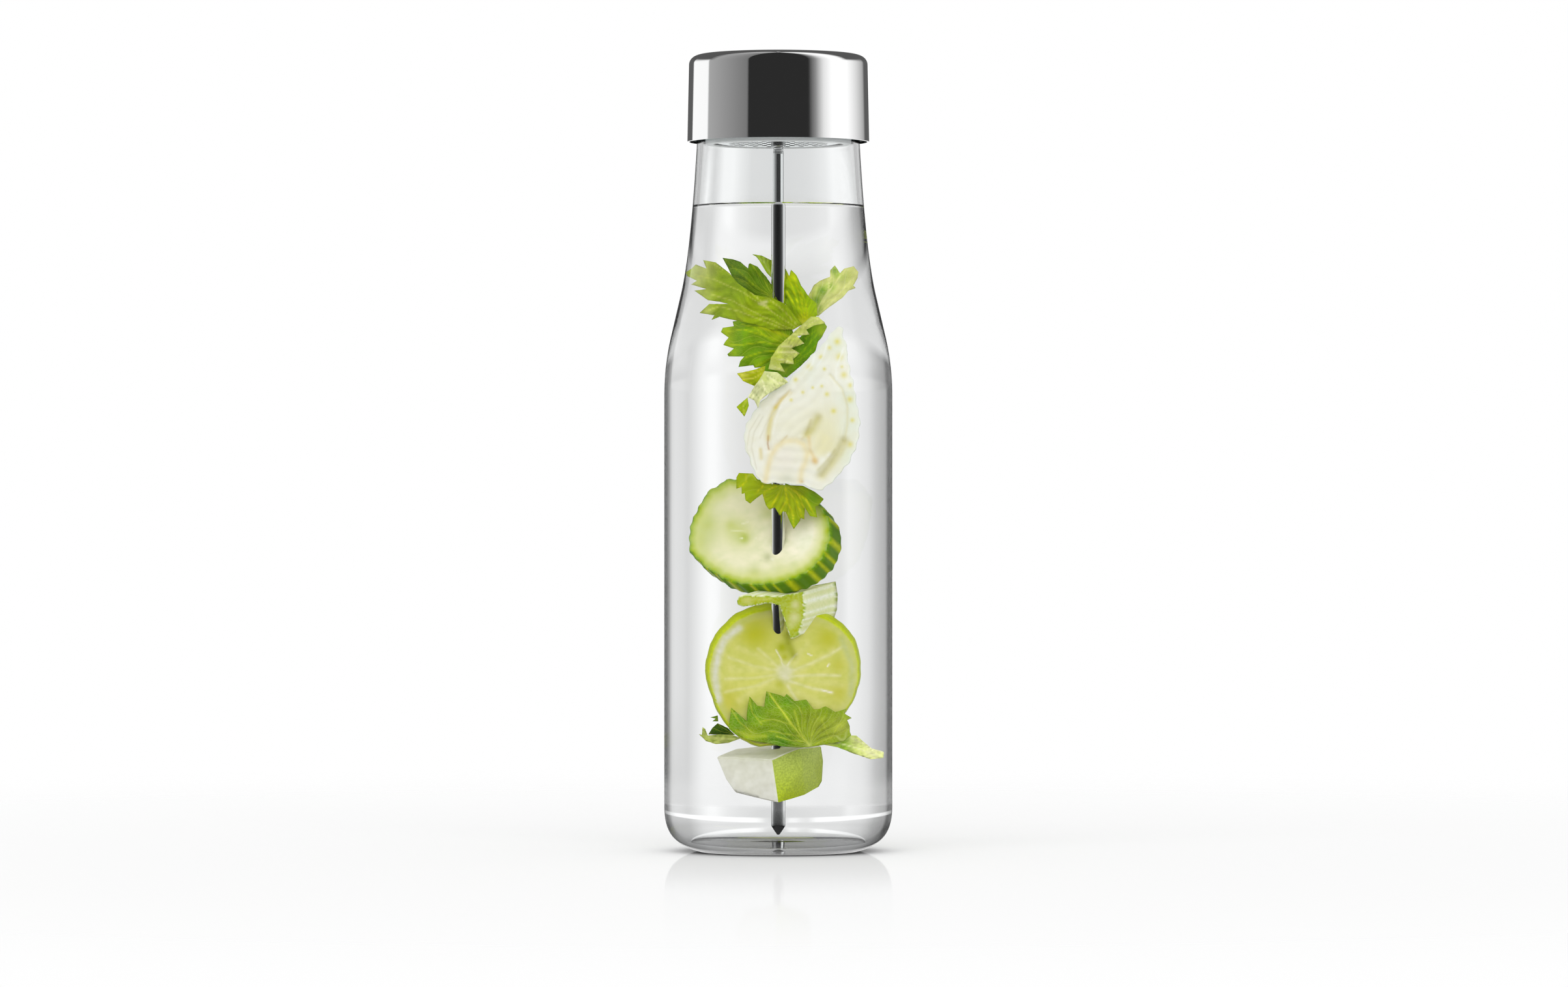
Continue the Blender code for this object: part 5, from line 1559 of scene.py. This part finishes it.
            (0.9, "#e8efd0", 0.7, [[(30, 13), (35, 28), (26, 51)], [(39, 7), (52, 17), (64, 19)]]),
        ],
    },
    "leaf_tip": {
        "corner": (1130, 610), "toning": (1.4, 1.1, 1.1), "material": leafGreen, "stalk": (19, 2),
        "tip": (13, 28), "depth": -10.0, "spread": 0.3, "tint": "#93b640",
        "outline": [(18, 0), (20, 13), (13, 29), (1, 15), (9, 8)],
        "patches": [(13, 13, 6, "#6f9a1e", 0.8)],
        "strokes": [
            (0.8, "#b9cf70", 0.7, [[(17, 2), (11, 13), (13, 25)]]),
        ],
    },
    "leaf_between": {
        "corner": (1130, 720), "toning": (1.12, 0.9, 0.4), "material": leafGreen, "stalk": (75, 23),
        "tip": (89, 91), "depth": -3.4, "rise": -3, "curl": 2, "spread": 0.3, "tint": "#9abb28",
        "outline": [
            (1, 13), (5, 6), (26, 7), (35, 18), (42, 23), (89, 25), (103, 26), (121, 35), (135, 46),
            (126, 57), (122, 57), (125, 74), (114, 72), (106, 59), (105, 77), (100, 75), (98, 80), (89, 92),
            (81, 76), (77, 66), (72, 65), (68, 71), (60, 59), (51, 62), (46, 55), (41, 38), (31, 45),
            (22, 53), (15, 48), (14, 37), (9, 38), (9, 27), (1, 30),
        ],
        "patches": [
            (120, 44, 16, "#639a0a", 0.9), (16, 18, 9, "#8fb43c", 0.7), (26, 41, 9, "#86ae26", 0.7),
            (68, 38, 16, "#a6c438", 0.6), (89, 83, 8, "#6fa30e", 0.8), (65, 26, 20, "#86ac2c", 0.6),
            (119, 67, 7, "#7dab1c", 0.7),
        ],
        "strokes": [
            (0.8, "#d3e088", 0.85, [
                [(71, 26), (62, 44), (53, 59)], [(75, 28), (79, 49), (88, 70), (89, 88)],
                [(76, 28), (94, 51), (102, 73)], [(81, 28), (107, 46), (120, 70)],
                [(42, 26), (32, 36), (23, 51)], [(16, 8), (16, 20), (6, 28)],
                [(79, 49), (71, 59), (68, 68)], [(62, 26), (45, 34), (42, 47)],
                [(88, 29), (97, 41), (104, 60)],
            ]),
        ],
    },
    "leaf_large_back": {
        "corner": (1080, 1110), "toning": (0.5, 0.54, 0.1), "material": leafGreen, "stalk": (47, 17),
        "tip": (9, 16), "depth": -4.0, "spread": 0.3, "tint": "#4b7a0c",
        "outline": [(8, 17), (14, 7), (22, 0), (37, 7), (49, 18), (27, 17)],
        "patches": [(25, 6, 8, "#5f8e18", 0.6)],
        "strokes": [
            (0.8, "#86a84a", 0.6, [[(45, 16), (29, 6), (19, 2)]]),
        ],
    },
    "leaf_large_curl": {
        "corner": (1070, 1110), "toning": (1.0, 0.93, 0.6), "material": leafPale, "stalk": (65, 24),
        "tip": (5, 16), "depth": -9.0, "rise": 4, "spread": 0.1, "tint": "#c0d08c",
        "outline": [
            (4, 17), (8, 18), (9, 6), (13, 9), (17, 19), (37, 17), (55, 18), (68, 23), (49, 30), (30, 32),
            (14, 27),
        ],
        "patches": [(35, 24, 9, "#cfdca6", 0.7), (11, 14, 7, "#a9bf74", 0.7)],
        "strokes": [
            (0.9, "#7f9f36", 0.7, [[(63, 22), (41, 20), (19, 19)], [(55, 26), (37, 28), (21, 26)]]),
            (0.8, "#e0e9c0", 0.7, [[(59, 24), (39, 24), (19, 22)], [(15, 20), (10, 8)]]),
        ],
    },
    "leaf_large_bits": {
        "corner": (1090, 1090), "material": leafGreen, "stalk": (13, 15), "tip": (1, 10), "depth": -2.0,
        "spread": 0.2, "tint": "#6a9524",
        "outline": [(1, 11), (12, 8), (13, 17), (4, 17), (9, 13)],
    },
    "leaf_large": {
        "corner": (1110, 1060), "toning": (0.85, 0.78, 0.3), "material": leafNetted, "stalk": (133, 84),
        "tip": (70, 2), "depth": -18.9, "rise": 7.0, "slant": 5.4, "spread": 0.3, "step": 1.7,
        "tint": "#86aa48",
        "outline": [
            (9, 58), (13, 26), (23, 35), (37, 47), (37, 35), (41, 9), (53, 23), (64, 25), (67, 1), (88, 7),
            (94, 10), (98, 5), (110, 16), (128, 14), (140, 29), (148, 28), (158, 24), (173, 33), (189, 28),
            (187, 35), (198, 42), (191, 45), (195, 55), (195, 63), (197, 68), (187, 77), (156, 83),
            (132, 87), (114, 87), (88, 85), (73, 81), (57, 79), (37, 75), (19, 67),
        ],
        "patches": [
            (70, 16, 12, "#6da40e", 0.85), (98, 16, 12, "#66a00c", 0.85), (25, 46, 16, "#6aa012", 0.85),
            (47, 34, 14, "#72aa14", 0.85), (126, 20, 9, "#6fa414", 0.8), (158, 32, 12, "#80ab30", 0.7),
            (92, 78, 15, "#4b8a04", 0.95), (76, 74, 8, "#4f8a08", 0.8), (41, 68, 12, "#a9c274", 0.8),
            # The pale patches at (146, 56) and (182, 56) are a painted sheen
            (146, 56, 30, "#b3c486", 0.7), (182, 56, 18, "#b9c894", 0.8), (86, 46, 22, "#8fb058", 0.6),
        ],
        "strokes": [
            (1.3, "#dbe8aa", 0.95, [[(133, 84), (106, 52), (90, 30), (70, 2)]]),
            (0.9, "#c6d896", 0.8, [
                [(164, 74), (158, 60), (152, 44)], [(132, 83), (118, 60), (110, 30)],
                [(106, 52), (76, 44), (57, 48)], [(118, 70), (94, 66), (70, 62)],
                [(126, 78), (102, 76), (82, 70)], [(135, 82), (138, 56), (146, 40)],
                [(166, 74), (176, 56), (184, 48)], [(142, 82), (170, 70), (190, 60)],
                [(14, 30), (25, 48), (45, 64)], [(40, 12), (45, 34), (60, 52)],
                [(122, 62), (123, 38), (118, 26)],
            ]),
            (2.2, "#bccf90", 0.7, [[(21, 62), (41, 70), (66, 70)]]),
        ],
    },
    "leaf_large_stalk": {
        "corner": (1260, 1120), "toning": (1.4, 1.28, 1.1), "material": leafPale, "stalk": (2, 24),
        "tip": (96, 38), "depth": -18.4, "rise": 7, "spread": 0.08, "tint": "#cfe284",
        "outline": [
            (6, 23), (27, 15), (37, 9), (55, 9), (67, 19), (79, 29), (97, 34), (97, 43), (77, 45), (53, 37),
            (27, 27),
        ],
        "patches": [
            (36, 24, 18, "#7fae12", 0.95), (80, 32, 18, "#d9e3b8", 0.9), (56, 18, 14, "#cddc9c", 0.8),
        ],
        "strokes": [
            (0.9, "#e6eecc", 0.7, [[(46, 12), (72, 24), (96, 34)], [(26, 20), (56, 28), (86, 40)]]),
        ],
    },
}
for leafName, leafLook in leaves.items():
    makeLeaf(leafName, leafLook)
print("leaves made")
